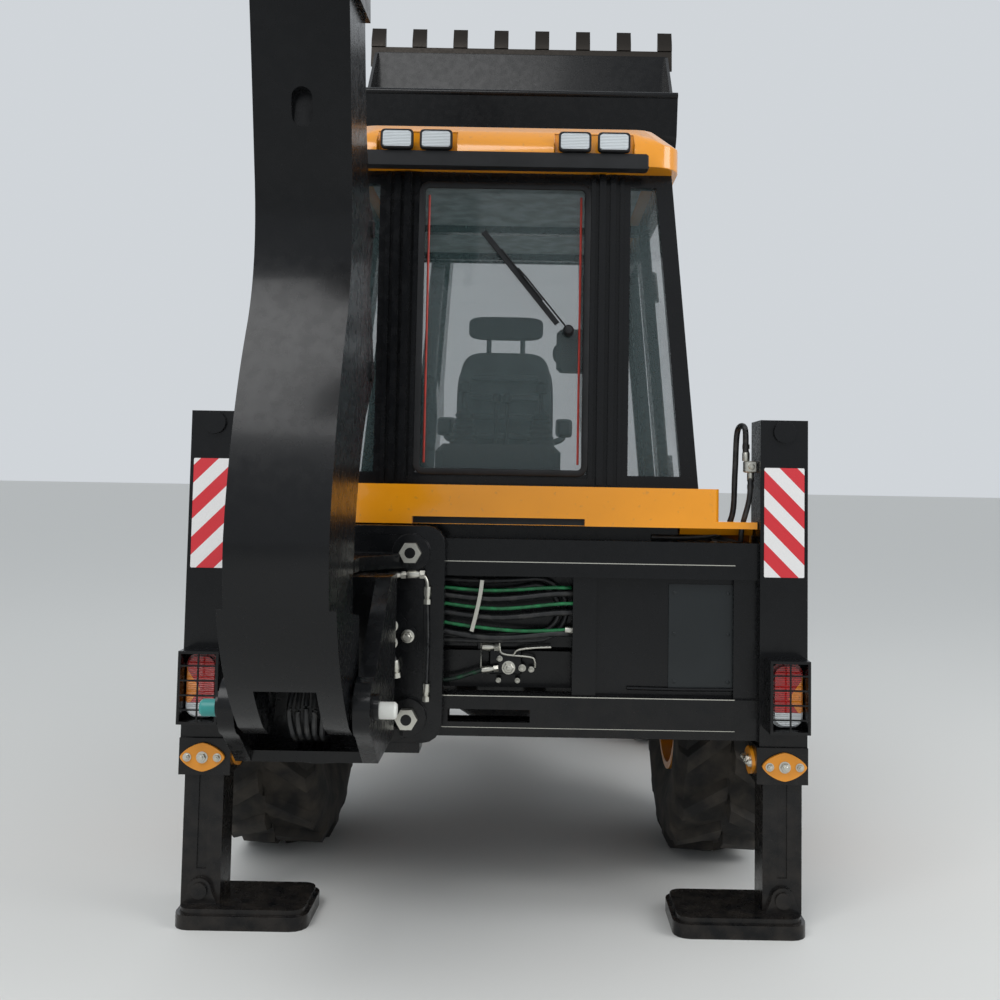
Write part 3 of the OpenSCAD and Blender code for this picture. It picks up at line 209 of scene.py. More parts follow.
def patchy_roughness(tree, main, size_mm, smooth, rough):
    """Roughness that wanders between two values in patches, as handling and weather leave it."""
    patches = blotches(tree, size_mm, detail=6.0, low=0.3, high=0.7)
    spread = add(tree, "ShaderNodeMapRange", inputs={"Value": patches, "To Min": smooth, "To Max": rough})
    tree.links.new(spread.outputs[0], main.inputs["Roughness"])


def fluted(tree, main, pitch_mm):
    """Flutes pressed into a lens: a wave along Z of a real pitch. Gives back its height from 0 to 1, which
    the lenses also use as the mask of painted shade in the grooves.
    """
    coords = add(tree, "ShaderNodeTexCoord")
    # At scale 1 the wave repeats 3.2 times in a metre, taken here as pi
    flutes = add(tree, "ShaderNodeTexWave", {"bands_direction": "Z"},
                 {"Vector": coords.outputs["Object"], "Scale": 1000 / pitch_mm / math.pi})
    bump = add(tree, "ShaderNodeBump", inputs={"Height": flutes.outputs[1], "Distance": 0.002})
    tree.links.new(bump.outputs[0], main.inputs["Normal"])
    return flutes.outputs[1]


def enamel(name, code, rough, dust=0.25, dust_top=1.4, shine=0.5):
    """Sprayed two-part enamel on welded plate: even colour, faint orange peel, dust low down."""
    made, tree, main = finish(name, IOR=1.5, Specular_IOR_Level=shine, Coat_Weight=0.12, Coat_Roughness=0.1)
    shade = add(tree, "ShaderNodeMix", COLOUR,
                {FACTOR: blotches(tree, 350), FIRST: linear(code), SECOND: linear(code, 0.82)})
    amount = add(tree, "ShaderNodeMath", {"operation": "MULTIPLY"},
                 {0: dust_low_down(tree, dust_top, 1.3), 1: dust})
    dusty = add(tree, "ShaderNodeMix", COLOUR,
                {FACTOR: amount.outputs[0], FIRST: shade.outputs[MIXED], SECOND: linear("#8d8072")})
    tree.links.new(dusty.outputs[MIXED], main.inputs["Base Color"])
    patchy_roughness(tree, main, 40, rough, rough + 0.12)
    rippled(tree, main, size_mm=3.0, depth_mm=0.08)
    return made


def moulded_panel(name, code):
    """Gel-coated moulded panel: a deep smooth gloss with a faint long wave and specks of road dirt."""
    made, tree, main = finish(name, IOR=1.5, Roughness=0.22, Coat_Weight=0.6, Coat_Roughness=0.05)
    shade = add(tree, "ShaderNodeMix", COLOUR,
                {FACTOR: blotches(tree, 500), FIRST: linear(code), SECOND: linear(code, 0.9)})
    specks = blotches(tree, 25, detail=8.0, low=0.62, high=0.72)
    dirt = add(tree, "ShaderNodeMath", {"operation": "MULTIPLY"}, {0: specks, 1: 0.25})
    specked = add(tree, "ShaderNodeMix", COLOUR,
                  {FACTOR: dirt.outputs[0], FIRST: shade.outputs[MIXED], SECOND: linear("#7a6a50")})
    tree.links.new(specked.outputs[MIXED], main.inputs["Base Color"])
    rippled(tree, main, size_mm=120.0, depth_mm=0.4)
    return made


def tread_rubber(name):
    """Road tyre rubber: carbon black, greyed by dust that lies in the tread."""
    made, tree, main = finish(name, IOR=1.5, Roughness=0.86)
    dust = blotches(tree, 110, detail=10.0, low=0.4, high=0.85)
    dusty = add(tree, "ShaderNodeMix", COLOUR,
                {FACTOR: dust, FIRST: linear("#1a1918"), SECOND: linear("#4d463d")})
    tree.links.new(dusty.outputs[MIXED], main.inputs["Base Color"])
    rippled(tree, main, size_mm=8.0, depth_mm=1.2, detail=6.0)
    return made


def grained_plastic(name, code, rough=0.55):
    """Injection-moulded polypropylene, or woven seat cloth, with a grain about 2.5 mm across."""
    made, tree, main = finish(name, IOR=1.49, Specular_IOR_Level=0.35, Roughness=rough)
    shade = add(tree, "ShaderNodeMix", COLOUR,
                {FACTOR: blotches(tree, 90), FIRST: linear(code), SECOND: linear(code, 1.5)})
    tree.links.new(shade.outputs[MIXED], main.inputs["Base Color"])
    rippled(tree, main, size_mm=2.5, depth_mm=0.15, detail=4.0)
    return made


def window_glass(name):
    """Tempered safety glass with a light blue-grey tint and a haze that comes and goes."""
    made, tree, main = finish(name, IOR=1.52, Alpha=0.24, Specular_IOR_Level=1.0,
                              Base_Color=linear("#4c5f60"))
    patches = blotches(tree, 300, detail=3.0, low=0.3, high=0.8)
    haze = add(tree, "ShaderNodeMapRange", inputs={"Value": patches, "To Min": 0.02, "To Max": 0.09})
    tree.links.new(haze.outputs[0], main.inputs["Roughness"])
    return made


def plated(name, code, rough):
    """Hard chrome or zinc plating over turned steel, or steel worn bare, with patches of wear."""
    made, tree, main = finish(name, Metallic=1.0, Base_Color=linear(code))
    patchy_roughness(tree, main, 15, rough, rough + 0.15)
    return made


def cast_iron(name, code):
    """Sand-cast iron under paint: matt, with grains about 4 mm across."""
    made, tree, main = finish(name, IOR=1.5, Roughness=0.6)
    shade = add(tree, "ShaderNodeMix", COLOUR,
                {FACTOR: blotches(tree, 70), FIRST: linear(code), SECOND: linear("#5a5048")})
    tree.links.new(shade.outputs[MIXED], main.inputs["Base Color"])
    rippled(tree, main, size_mm=4.0, depth_mm=0.5, detail=5.0)
    return made


def lens(name, code, lit=0.0):
    """Clear acrylic lamp lens with pressed flutes 6 mm apart, and painted shade that darkens their grooves.
    """
    made, tree, main = finish(name, IOR=1.49, Roughness=0.08, Coat_Weight=1.0, Coat_Roughness=0.03,
                              Emission_Color=linear(code), Emission_Strength=lit)
    # Painted shade: the lens colour at half strength in the flutes' grooves
    shade = add(tree, "ShaderNodeMix", COLOUR,
                {FACTOR: fluted(tree, main, 6), FIRST: linear(code), SECOND: linear(code, 0.5)})
    tree.links.new(shade.outputs[MIXED], main.inputs["Base Color"])
    return made


def signal_lens(name):
    """Lens in three fields: white below, amber at the outer side, red elsewhere, with flutes 7 mm apart and
    painted shade darkening the red field's grooves.
    """
    made, tree, main = finish(name, IOR=1.49, Roughness=0.12, Coat_Weight=1.0, Coat_Roughness=0.04)
    coords = add(tree, "ShaderNodeTexCoord")
    split = add(tree, "ShaderNodeSeparateXYZ", inputs={0: coords.outputs["Object"]})
    low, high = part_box("tail_lamps")
    middle = (low[2] + high[2]) / 2
    half = (high[2] - low[2]) / 2
    amber_edge = high[0] - 0.059
    white_top = middle - 0.52 * half
    # The amber field's inner edge leans out by 0.7 for each unit up or down from its middle
    aside = add(tree, "ShaderNodeMath", {"operation": "ABSOLUTE"}, {0: split.outputs["X"]})
    past_edge = add(tree, "ShaderNodeMath", {"operation": "SUBTRACT"}, {0: aside.outputs[0], 1: amber_edge})
    rise = add(tree, "ShaderNodeMath", {"operation": "SUBTRACT"}, {0: split.outputs["Z"], 1: middle - 0.01})
    rise = add(tree, "ShaderNodeMath", {"operation": "ABSOLUTE"}, {0: rise.outputs[0]})
    lean = add(tree, "ShaderNodeMath", {"operation": "MULTIPLY"}, {0: rise.outputs[0], 1: 0.7})
    inside = add(tree, "ShaderNodeMath", {"operation": "SUBTRACT"},
                 {0: past_edge.outputs[0], 1: lean.outputs[0]})
    amber = add(tree, "ShaderNodeMath", {"operation": "GREATER_THAN"}, {0: inside.outputs[0], 1: 0.002})
    white = add(tree, "ShaderNodeMath", {"operation": "LESS_THAN"}, {0: split.outputs["Z"], 1: white_top})
    # Painted shade: the red field turns dark red in the flutes' grooves
    red = add(tree, "ShaderNodeMix", COLOUR,
              {FACTOR: fluted(tree, main, 7), FIRST: linear("#d01512"), SECOND: linear("#8c0a0a")})
    warm = add(tree, "ShaderNodeMix", COLOUR,
               {FACTOR: amber.outputs[0], FIRST: red.outputs[MIXED], SECOND: linear("#f08a12")})
    shade = add(tree, "ShaderNodeMix", COLOUR,
                {FACTOR: white.outputs[0], FIRST: warm.outputs[MIXED], SECOND: linear("#dfe3e4")})
    tree.links.new(shade.outputs[MIXED], main.inputs["Base Color"])
    return made


def reflective_board(name, tilt):
    """Retroreflective sheet: red and white stripes at 45 degrees, each 48 mm across, in cells of 4 mm."""
    made, tree, main = finish(name, IOR=1.5, Roughness=0.3, Coat_Weight=0.5)
    coords = add(tree, "ShaderNodeTexCoord")
    split = add(tree, "ShaderNodeSeparateXYZ", inputs={0: coords.outputs["Object"]})
    slope = add(tree, "ShaderNodeMath", {"operation": "MULTIPLY"}, {0: split.outputs["X"], 1: tilt})
    along = add(tree, "ShaderNodeMath", {"operation": "ADD"}, {0: slope.outputs[0], 1: split.outputs["Z"]})
    stripe = 0.048
    pitch = 2 * stripe * math.sqrt(2)
    turns = add(tree, "ShaderNodeMath", {"operation": "DIVIDE"}, {0: along.outputs[0], 1: pitch})
    part = add(tree, "ShaderNodeMath", {"operation": "FRACT"}, {0: turns.outputs[0]})
    red = add(tree, "ShaderNodeMath", {"operation": "GREATER_THAN"}, {0: part.outputs[0], 1: 0.5})
    stripes = add(tree, "ShaderNodeMix", COLOUR,
                  {FACTOR: red.outputs[0], FIRST: linear("#e9e7e6"), SECOND: linear("#d2232f")})
    cell_mm = 4
    cells = add(tree, "ShaderNodeTexVoronoi",
                inputs={"Vector": coords.outputs["Object"], "Scale": 1000 / cell_mm})
    grain = add(tree, "ShaderNodeMapRange", inputs={"Value": cells.outputs["Distance"], "To Min": 0.9})
    shade = add(tree, "ShaderNodeMix", {"data_type": "RGBA", "blend_type": "MULTIPLY"},
                {FACTOR: 1.0, FIRST: stripes.outputs[MIXED], SECOND: grain.outputs[0]})
    tree.links.new(shade.outputs[MIXED], main.inputs["Base Color"])
    return made


def hose_finish(name, code, line="#3b3a38"):
    """Extruded rubber hose: satin, with a faint wrap or a printed line that shows in patches."""
    made, tree, main = finish(name, IOR=1.5, Roughness=0.42)
    traces = blotches(tree, 30, detail=6.0, low=0.45, high=0.75)
    shade = add(tree, "ShaderNodeMix", COLOUR, {FACTOR: traces, FIRST: linear(code), SECOND: linear(line)})
    tree.links.new(shade.outputs[MIXED], main.inputs["Base Color"])
    rippled(tree, main, size_mm=1.5, depth_mm=0.05)
    return made


def nylon(name, code):
    """Moulded nylon cap: one even colour with a satin skin."""
    return finish(name, IOR=1.5, Roughness=0.4, Base_Color=linear(code))[0]


def stage_paper(name, code):
    """Pale matt studio ground that keeps the object's shadow."""
    return finish(name, Roughness=0.9, Base_Color=linear(code))[0]


FINISH = {
    "body_yellow": moulded_panel("gel_coated_yellow_panel", "#f09a10"),
    "yellow_paint": enamel("yellow_enamel", "#e8930f", 0.35),
    "black_paint": enamel("gloss_black_enamel", "#0d0e10", 0.2, dust=0.12, dust_top=1.0, shine=0.22),
    "black_plastic": grained_plastic("grained_black_polypropylene", "#141517"),
    "tyre": tread_rubber("dusty_tread_rubber"),
    "glass": window_glass("tinted_safety_glass"),
    "seat_fabric": grained_plastic("dark_seat_cloth", "#26262a", 0.9),
    "rod_chrome": plated("hard_chrome_rod", "#c8c9cc", 0.12),
    "cast_block": cast_iron("painted_cast_iron", "#3a3c3e"),
    "worn_steel": plated("dug_bare_steel", "#474340", 0.42),
    "lamp_lens": lens("red_lamp_lens", "#a3140c"),
    "zinc": plated("zinc_plated_fasteners", "#c9c7bd", 0.28),
    "dark_steel": plated("hardened_tooth_steel", "#34312e", 0.38),
}


def finish_nodes():
    """Gives each solid the finish of its material slot, and the signal lamps and teeth their own."""
    for part in frame["record"]["subparts"]:
        solid = NODES[part["node"]]
        solid.data.materials.clear()
        solid.data.materials.append(FINISH[part["material_slot"]])
    NODES["tail_lamps"].data.materials[0] = signal_lens("signal_lens")
    NODES["bucket_teeth"].data.materials[0] = FINISH["dark_steel"]


def shade_solids():
    """Shades each solid's shallow facets as one curve, and rounds the plates' sharp edges."""
    for name, solid in NODES.items():
        mesh = solid.data
        if "custom_normal" in mesh.attributes:
            mesh.attributes.remove(mesh.attributes["custom_normal"])
        mesh.shade_smooth()
        solid.modifiers.new("joined_facets", "WELD").merge_threshold = 1e-5
        if name in PLATES:
            bevel = solid.modifiers.new("dressed_edges", "BEVEL")
            bevel.width = PLATE_EDGE
            bevel.segments = 2
            bevel.limit_method = "ANGLE"
            bevel.angle_limit = math.radians(50)
            solid.modifiers.new("flat_plates", "WEIGHTED_NORMAL").mode = "FACE_AREA_WITH_ANGLE"
        else:
            solid.modifiers.new("sharp_edges", "EDGE_SPLIT").split_angle = math.radians(32)


# Outlines, routes and shapes: a shape is its points and its faces


def circle(radius, count):
    """Points of a circle: radius times cosine and sine of evenly spaced angles."""
    turn = np.linspace(0, 2 * math.pi, count, endpoint=False)
    return np.stack([radius * np.cos(turn), radius * np.sin(turn)], axis=1)


def rounded(width, height, radius, count):
    """Outline of a rectangle whose corners are quarter circles of a number of points each."""
    quarter = np.linspace(0, math.pi / 2, count)
    corners = [(width / 2 - radius, height / 2 - radius), (radius - width / 2, height / 2 - radius),
               (radius - width / 2, radius - height / 2), (width / 2 - radius, radius - height / 2)]
    return np.concatenate([np.stack([x + radius * np.cos(quarter + k * math.pi / 2),
                                     y + radius * np.sin(quarter + k * math.pi / 2)], axis=1)
                           for k, (x, y) in enumerate(corners)])


def grid_faces(rows, around, closed=False):
    """Quads between neighbouring rings of points, and a face on each end of an open row of rings."""
    index = np.arange(rows * around).reshape(rows, around)
    below = index if closed else index[:-1]
    above = np.roll(index, -1, axis=0) if closed else index[1:]
    quads = np.stack([below, np.roll(below, -1, axis=1), np.roll(above, -1, axis=1), above], axis=-1)
    faces = quads.reshape(-1, 4).tolist()
    if not closed:
        faces += [index[0, ::-1].tolist(), index[-1].tolist()]
    return faces


def carried(outline, path, up=UPWARDS, closed=False):
    """Carries a flat outline along a path, square to it: point plus side times x plus over times y.

    Side is the path's direction crossed with up, so the outline has no width where the path runs
    exactly along up.
    """
    path = np.asarray(path, float)
    ahead = (np.roll(path, -1, axis=0) - np.roll(path, 1, axis=0)) if closed else np.gradient(path, axis=0)
    ahead /= np.linalg.norm(ahead, axis=1, keepdims=True)
    side = np.cross(ahead, up)
    side /= np.maximum(np.linalg.norm(side, axis=1, keepdims=True), 1e-9)
    over = np.cross(side, ahead)
    points = path[:, None] + outline[None, :, :1] * side[:, None] + outline[None, :, 1:] * over[:, None]
    return points.reshape(-1, 3), grid_faces(len(path), len(outline), closed)


def tube(route, radius, count=12):
    """Round tube of one radius carried along a route."""
    return carried(circle(radius, count), route)


def turned(profile, place, axis, count=24):
    """Turns a profile of distance along and radius about an axis through a place."""
    profile = np.asarray(profile, float)
    axis = np.asarray(axis, float) / np.linalg.norm(axis)
    first = np.cross(axis, UPWARDS if abs(axis[2]) < 0.9 else ACROSS)
    first /= np.linalg.norm(first)
    second = np.cross(axis, first)
    ring = circle(1.0, count)
    round_way = ring[:, :1] * first + ring[:, 1:] * second
    points = np.asarray(place) + profile[:, None, :1] * axis + profile[:, None, 1:] * round_way[None]
    return points.reshape(-1, 3), grid_faces(len(profile), count)


def box(low, high, edge):
    """Block between two corners: four rings of a chamfered outline, the outer two drawn in by the edge."""
    low, high = np.minimum(low, high), np.maximum(low, high)
    middle = (low + high) / 2
    size = high - low
    outline = rounded(size[0], size[1], min(edge, size[0] / 3, size[1] / 3), 2)
    drawn_in = 1 - 2 * edge / max(size[0], size[1])
    heights = ((low[2], drawn_in), (low[2] + edge, 1), (high[2] - edge, 1), (high[2], drawn_in))
    rings = [np.column_stack([outline * share + middle[:2], np.full(len(outline), z)])
             for z, share in heights]
    return np.concatenate(rings), grid_faces(len(rings), len(outline))


def prism(outline, start, end, across=ACROSS):
    """Flat outline drawn across and upwards at a start point and pushed to an end point."""
    flat = outline[:, :1] * np.asarray(across, float) + outline[:, 1:] * np.asarray(UPWARDS, float)
    return np.concatenate([np.asarray(start) + flat, np.asarray(end) + flat]), grid_faces(2, len(outline))


def squircle(middle, half, power=0.42, lean=0.0, crown=0.0):
    """Rounded cushion: each half size times sine or cosine to a small power, leaned about X."""
    count = 28
    up = np.linspace(-math.pi / 2, math.pi / 2, count)
    turn = np.linspace(0, 2 * math.pi, 2 * count, endpoint=False)

    def soft(values):
        return np.sign(values) * np.abs(values) ** power

    ring = soft(np.cos(up))
    x = half[0] * np.outer(ring, soft(np.cos(turn)))
    y = half[1] * np.outer(ring, soft(np.sin(turn)))
    z = half[2] * np.outer(soft(np.sin(up)), np.ones(len(turn)))
    y = y + crown * np.cos(np.clip(x / half[0], -1, 1) * math.pi) * half[1]
    leaned_y = y * math.cos(lean) - z * math.sin(lean)
    leaned_z = y * math.sin(lean) + z * math.cos(lean)
    points = np.stack([x, leaned_y, leaned_z], axis=-1).reshape(-1, 3) + np.asarray(middle)
    return points, grid_faces(count, 2 * count)


def smooth_route(points):
    """Curve through given points: the usual cubic through four neighbours at a time."""
    steps = 8
    hand = np.asarray(points, float)
    hand = np.concatenate([[2 * hand[0] - hand[1]], hand, [2 * hand[-1] - hand[-2]]])
    t = np.linspace(0, 1, steps, endpoint=False)[None, :, None]
    a, b, c, d = (hand[k:len(hand) - 3 + k, None, :] for k in range(4))
    squared = 2 * a - 5 * b + 4 * c - d
    cubed = 3 * b - a - 3 * c + d
    run = 0.5 * (2 * b + (c - a) * t + squared * t ** 2 + cubed * t ** 3)
    return np.concatenate([run.reshape(-1, 3), hand[-2:-1]])


def at(x, y, z):
    """A place given by its distance from the middle, from the rear axle and from the ground."""
    return np.array([x, AXLE_Y + y, z])


def hex_nut(place, axis, flats, height):
    """Hexagon nut with a chamfered top on a washer, and the bolt's end standing out of it."""
    corner = flats / math.sqrt(3)
    washer = turned([(0, corner * 1.25), (height * 0.16, corner * 1.25), (height * 0.18, corner * 1.2)],
                    place, axis, 20)
    nut = turned([(0, corner), (height * 0.85, corner), (height, corner * 0.86)], place, axis, 6)
    bolt = turned([(height * 0.9, corner * 0.5), (height * 1.25, corner * 0.5),
                   (height * 1.35, corner * 0.4)], place, axis, 16)
    return [washer, nut, bolt]


def end_fitting(place, ahead, radius):
    """Swaged steel end of a hose: a ribbed shell, a hexagon and a neck."""
    shell = turned([(0, radius * 1.25), (0.006, radius * 1.32), (0.03, radius * 1.32),
                    (0.036, radius * 1.1), (0.06, radius * 0.7)], place, ahead, 18)
    ahead = np.asarray(ahead, float) / np.linalg.norm(ahead)
    neck = np.asarray(place) + 0.046 * ahead
    nut = turned([(0.0, radius * 1.35), (0.018, radius * 1.35)], neck, ahead, 6)
    return [shell, nut]


def piece(name, body, slot, material, *parts):
    """Makes one object of its parts, with faces turned outwards, and lets it ride on a body."""
    points, faces, count = [], [], 0
    for some_points, some_faces in parts:
        points.append(some_points)
        faces += [[k + count for k in face] for face in some_faces]
        count += len(some_points)
    mesh = bpy.data.meshes.new(name)
    mesh.from_pydata(np.concatenate(points).tolist(), [], faces)
    work = bmesh.new()
    work.from_mesh(mesh)
    bmesh.ops.recalc_face_normals(work, faces=work.faces)
    work.to_mesh(mesh)
    work.free()
    mesh.materials.append(material)
    made = bpy.data.objects.new(name, mesh)
    bpy.context.scene.collection.objects.link(made)
    mesh.shade_smooth()
    mesh.set_sharp_from_angle(angle=math.radians(35))
    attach(made, body)
    return made


# Legs and lamps


def sleeve_fittings():
    """Striped boards and wear-pad plates with their bolts on the two sleeves of the legs."""
    sleeve_x = 1.083
    board = rounded(0.152, 0.413, 0.004, 3)
    board_z = 1.512
    plate_z = 0.607
    thick = 0.012
    # Diamond: each half size times cosine or sine to a power over one, which hollows its four sides
    turn = np.linspace(0, 2 * math.pi, 40, endpoint=False)
    power = 1.35
    diamond = np.stack([0.083 * np.sign(np.cos(turn)) * np.abs(np.cos(turn)) ** power,
                        0.052 * np.sign(np.sin(turn)) * np.abs(np.sin(turn)) ** power], axis=1)
    for s, side in LEFT_RIGHT:
        x = s * sleeve_x
        piece(f"striped_board_{side}", "machine", "lamp_lens", reflective_board(f"striped_sheet_{side}", s),
              prism(board, (x, SLEEVE_BACK, board_z), (x, SLEEVE_BACK - 0.0025, board_z)))
        # One plate on the sleeve's rear face and one on its inner face, each with three bolts
        plates, bolts = [], []
        low = SLEEVE_BACK - thick
        for place, out, across in (((x, low, plate_z), BACKWARDS, ACROSS),
                                   ((x - s * 0.102, low + 0.102, plate_z), (-s, 0, 0), FORWARDS)):
            place, out, across = (np.array(v, float) for v in (place, out, across))
            plates.append(prism(diamond, place, place + thick * out, across))
            for k, flats in ((-1, 0.022), (0, 0.03), (1, 0.022)):
                bolts += hex_nut(place + thick * out + k * 0.056 * across, out, flats, 0.014)
        piece(f"wear_plates_{side}", "machine", "yellow_paint", FINISH["yellow_paint"], *plates)
        piece(f"wear_plate_bolts_{side}", "machine", "rod_chrome", FINISH["zinc"], *bolts)


def lamp_glasses():
    """Clear fluted glasses and dark rims on the four rear work lamps."""
    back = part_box("work_lamps")[0][1]
    lamps_x = (0.270, 0.422)
    lamps_z = 2.972
    face = rounded(0.112, 0.062, 0.012, 5)
    glasses, rims = [], []
    for s in SIDES:
        for x in lamps_x:
            start = np.array((s * x, back, lamps_z))
            for out, share in ((0.001, 1.0), (0.005, 0.97)):
                glasses.append(prism(face * share, start + (0, 0.002, 0), start - (0, out, 0)))
            ring = [start + (across * 1.06, -0.001, over * 1.1) for across, over in face]
            rims.append(carried(circle(0.004, 8), ring, FORWARDS, closed=True))
    piece("work_lamp_glasses", "machine", "lamp_lens", lens("clear_lamp_glass", "#dfe6ea", 0.12), *glasses)
    piece("work_lamp_rims", "machine", "black_plastic", FINISH["black_plastic"], *rims)


# Cab


def window_fittings():
    """Header over the rear window, its red seal cords, the wiper with its motor, and the frame's seal."""
    black = FINISH["black_plastic"]
    roof_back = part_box("cab_roof")[0][1]
    half = 0.56
    piece("roof_header", "machine", "black_plastic", black,
          box((-half, roof_back - 0.004, 2.872), (half, roof_back + 0.06, 2.930), 0.006))
    cords = []
    cord_x = 0.304
    for s in SIDES:
        line = [(s * cord_x, GLASS_BACK - 0.004, z) for z in (1.72, 2.25, 2.79)]
        cords.append(carried(circle(0.0045, 10), line, FORWARDS))
    red = hose_finish("red_seal_cord", "#b8301f", "#93251b")
    piece("red_seal_cords", "machine", "black_plastic", red, *cords)
    # Wiper: arm and blade lie along the line from its pivot to its tip, the arm further out
    pivot = np.array((0.259, GLASS_BACK - 0.01, 2.25))
    tip = np.array((-0.072, GLASS_BACK - 0.03, 2.65))
    out = (0, -0.035, 0)
    along = (tip - pivot) / np.linalg.norm(tip - pivot)
    across = np.cross(along, FORWARDS)
    arm = carried(rounded(0.012, 0.006, 0.002, 2),
                  [pivot + out, pivot + out + 0.27 * along, tip - 0.2 * along])
    blade = carried(rounded(0.007, 0.022, 0.002, 2),
                    [tip - 0.47 * along + 0.016 * across, tip + 0.016 * across])
    holder = carried(rounded(0.016, 0.006, 0.002, 2),
                     [tip - 0.36 * along + 0.004 * across, tip - 0.1 * along + 0.004 * across])
    boss = turned([(0, 0.022), (0.03, 0.022), (0.045, 0.014), (0.048, 0.004)], pivot, BACKWARDS, 20)
    motor = box((0.215, GLASS_BACK + 0.012, 2.09), (0.345, GLASS_BACK + 0.085, 2.262), 0.016)
    cover = turned([(0, 0.05), (0.04, 0.05), (0.052, 0.04), (0.054, 0.004)],
                   (0.25, GLASS_BACK + 0.06, 2.17), FORWARDS, 24)
    piece("rear_wiper", "machine", "black_plastic", black, arm, blade, holder, boss, motor, cover)
    # Seal round the window's frame, a little in front of the frame's back
    seal_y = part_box("cab_frame")[0][1] + 0.016
    seal_middle = 2.255
    ring = [(x, seal_y, seal_middle + z) for x, z in rounded(0.66, 1.14, 0.03, 6)]
    piece("window_seal", "machine", "black_plastic", black,
          carried(rounded(0.026, 0.018, 0.006, 3), ring, FORWARDS, closed=True))


def cab_lining():
    """Grey lining under the roof, cut short of the window frames."""
    low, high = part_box("cab_frame")
    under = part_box("cab_roof")[0][2]
    half = 0.56
    gap = 0.12
    piece("roof_lining", "machine", "seat_fabric", grained_plastic("grey_roof_lining", "#8b9699", 0.8),
          box((-half, low[1] + gap, under - 0.012), (half, high[1] - gap, under - 0.002), 0.003))


def driver_seat():
    """Seat with a tall ribbed back, a head rest, bolsters and arm rests, over its sprung base."""
    lean = 0.10
    cushions = [squircle(at(0, -0.08, 1.475), (0.225, 0.235, 0.075)),
                squircle(at(0, -0.265, 1.86), (0.175, 0.06, 0.34), lean=lean, crown=0.15),
                squircle(at(0, -0.322, 2.33), (0.165, 0.042, 0.052), lean=lean)]
    for s in SIDES:
        cushions.append(squircle(at(s * 0.165, -0.25, 1.84), (0.05, 0.085, 0.31), lean=lean))
        cushions.append(squircle(at(s * 0.19, -0.08, 1.49), (0.045, 0.22, 0.075)))
    # Ribs up the front of the back
    for k in range(5):
        rib = at(0, -0.222 - 0.014 * k, 1.62 + 0.13 * k)
        cushions.append(squircle(rib, (0.13, 0.028, 0.055), lean=lean))
    seat = piece("seat_cushions", "machine", "seat_fabric", FINISH["seat_fabric"], *cushions)
    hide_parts("seat")
    shell = [squircle(at(0, -0.318, 1.86), (0.205, 0.026, 0.36), 0.35, lean=lean),
             box(at(-0.19, -0.27, 1.05), at(0.19, 0.11, 1.13), 0.01)]
    # Ribs across the shell, and the folds of the sprung base
    for k in range(6):
        rib = at(0, -0.318 - 0.0085 * k, 1.68 + 0.085 * k)
        shell.append(squircle(rib, (0.165 - 0.004 * k, 0.034, 0.014), lean=lean))
    for k in range(7):
        half = 0.17 - 0.004 * k
        shell.append(box(at(-half, -0.25, 1.14 + 0.034 * k), at(half, 0.09, 1.162 + 0.034 * k), 0.008))
    # Arm rests with their brackets, and the head rest's posts
    for s in SIDES:
        shell.append(squircle(at(s * 0.268, -0.14, 1.90), (0.036, 0.19, 0.042), 0.4, lean=0.06))
        bracket = [at(s * 0.19, -0.31, 1.82), at(s * 0.25, -0.30, 1.84), at(s * 0.266, -0.24, 1.87)]
        shell.append(tube(smooth_route(bracket), 0.014))
        post = [at(s * 0.075, -0.33, 2.17), at(s * 0.075, -0.325, 2.25), at(s * 0.075, -0.32, 2.31)]
        shell.append(tube(post, 0.011))
    grey = grained_plastic("grey_seat_shell", "#33383a", 0.5)
    piece("seat_frame", "machine", "black_plastic", grey, *shell)


def cab_controls():
    """Gaiters and knobs of the controls round the seat, the digging controls' column, and a fan."""
    parts = []
    side_folds = [(0.0, 0.055), (0.02, 0.05), (0.026, 0.056), (0.045, 0.044), (0.051, 0.05), (0.07, 0.036),
                  (0.076, 0.042), (0.1, 0.022), (0.16, 0.014)]
    for s in SIDES:
        parts.append(turned(side_folds, at(s * 0.4, -0.52, 1.57), UPWARDS))
        for k in range(4):
            x = s * 0.4 - 0.07 + 0.037 * k
            parts.append(box(at(x, -0.36, 1.568), at(x + 0.025, -0.32, 1.578), 0.003))
    # Column of the digging controls between seat and window: two gaiters and two short levers
    column_y = -0.68
    column_top = 1.80
    parts.append(box(at(-0.27, column_y - 0.08, 1.46), at(0.24, column_y + 0.08, column_top), 0.03))
    boot = [(0.0, 0.058)]
    for k in range(6):
        boot += [(0.012 + 0.022 * k, 0.058 - 0.004 * k), (0.021 + 0.022 * k, 0.048 - 0.004 * k)]
    long_lever = boot + [(0.15, 0.012), (0.21, 0.01), (0.215, 0.026), (0.25, 0.026), (0.262, 0.012)]
    short_lever = [(0.0, 0.009), (0.17, 0.009), (0.175, 0.02), (0.2, 0.022), (0.215, 0.01)]
    for s in SIDES:
        parts.append(turned(long_lever, at(s * 0.158, column_y, column_top), UPWARDS, 28))
        parts.append(turned(short_lever, at(s * 0.022 - 0.005, column_y, column_top), UPWARDS, 16))
    # Small fan on the left window post
    fan = at(-0.47, -0.62, 2.18)
    bowl = [(-0.01, 0.02), (0, 0.075), (0.012, 0.08), (0.03, 0.078), (0.05, 0.03), (0.052, 0.004)]
    parts.append(turned(bowl, fan, (0.5, 1, 0), 28))
    parts.append(tube(smooth_route([fan, fan + (-0.05, -0.06, -0.06), fan + (-0.09, -0.15, -0.08)]), 0.012))
    piece("cab_controls", "machine", "black_plastic", FINISH["black_plastic"], *parts)


# Hoses and pipes


# Radius of the looped hoses, and of the black and the green ones laid across them
LOOP_R = 0.011
THICK_R = 0.0125
THIN_R = 0.0065


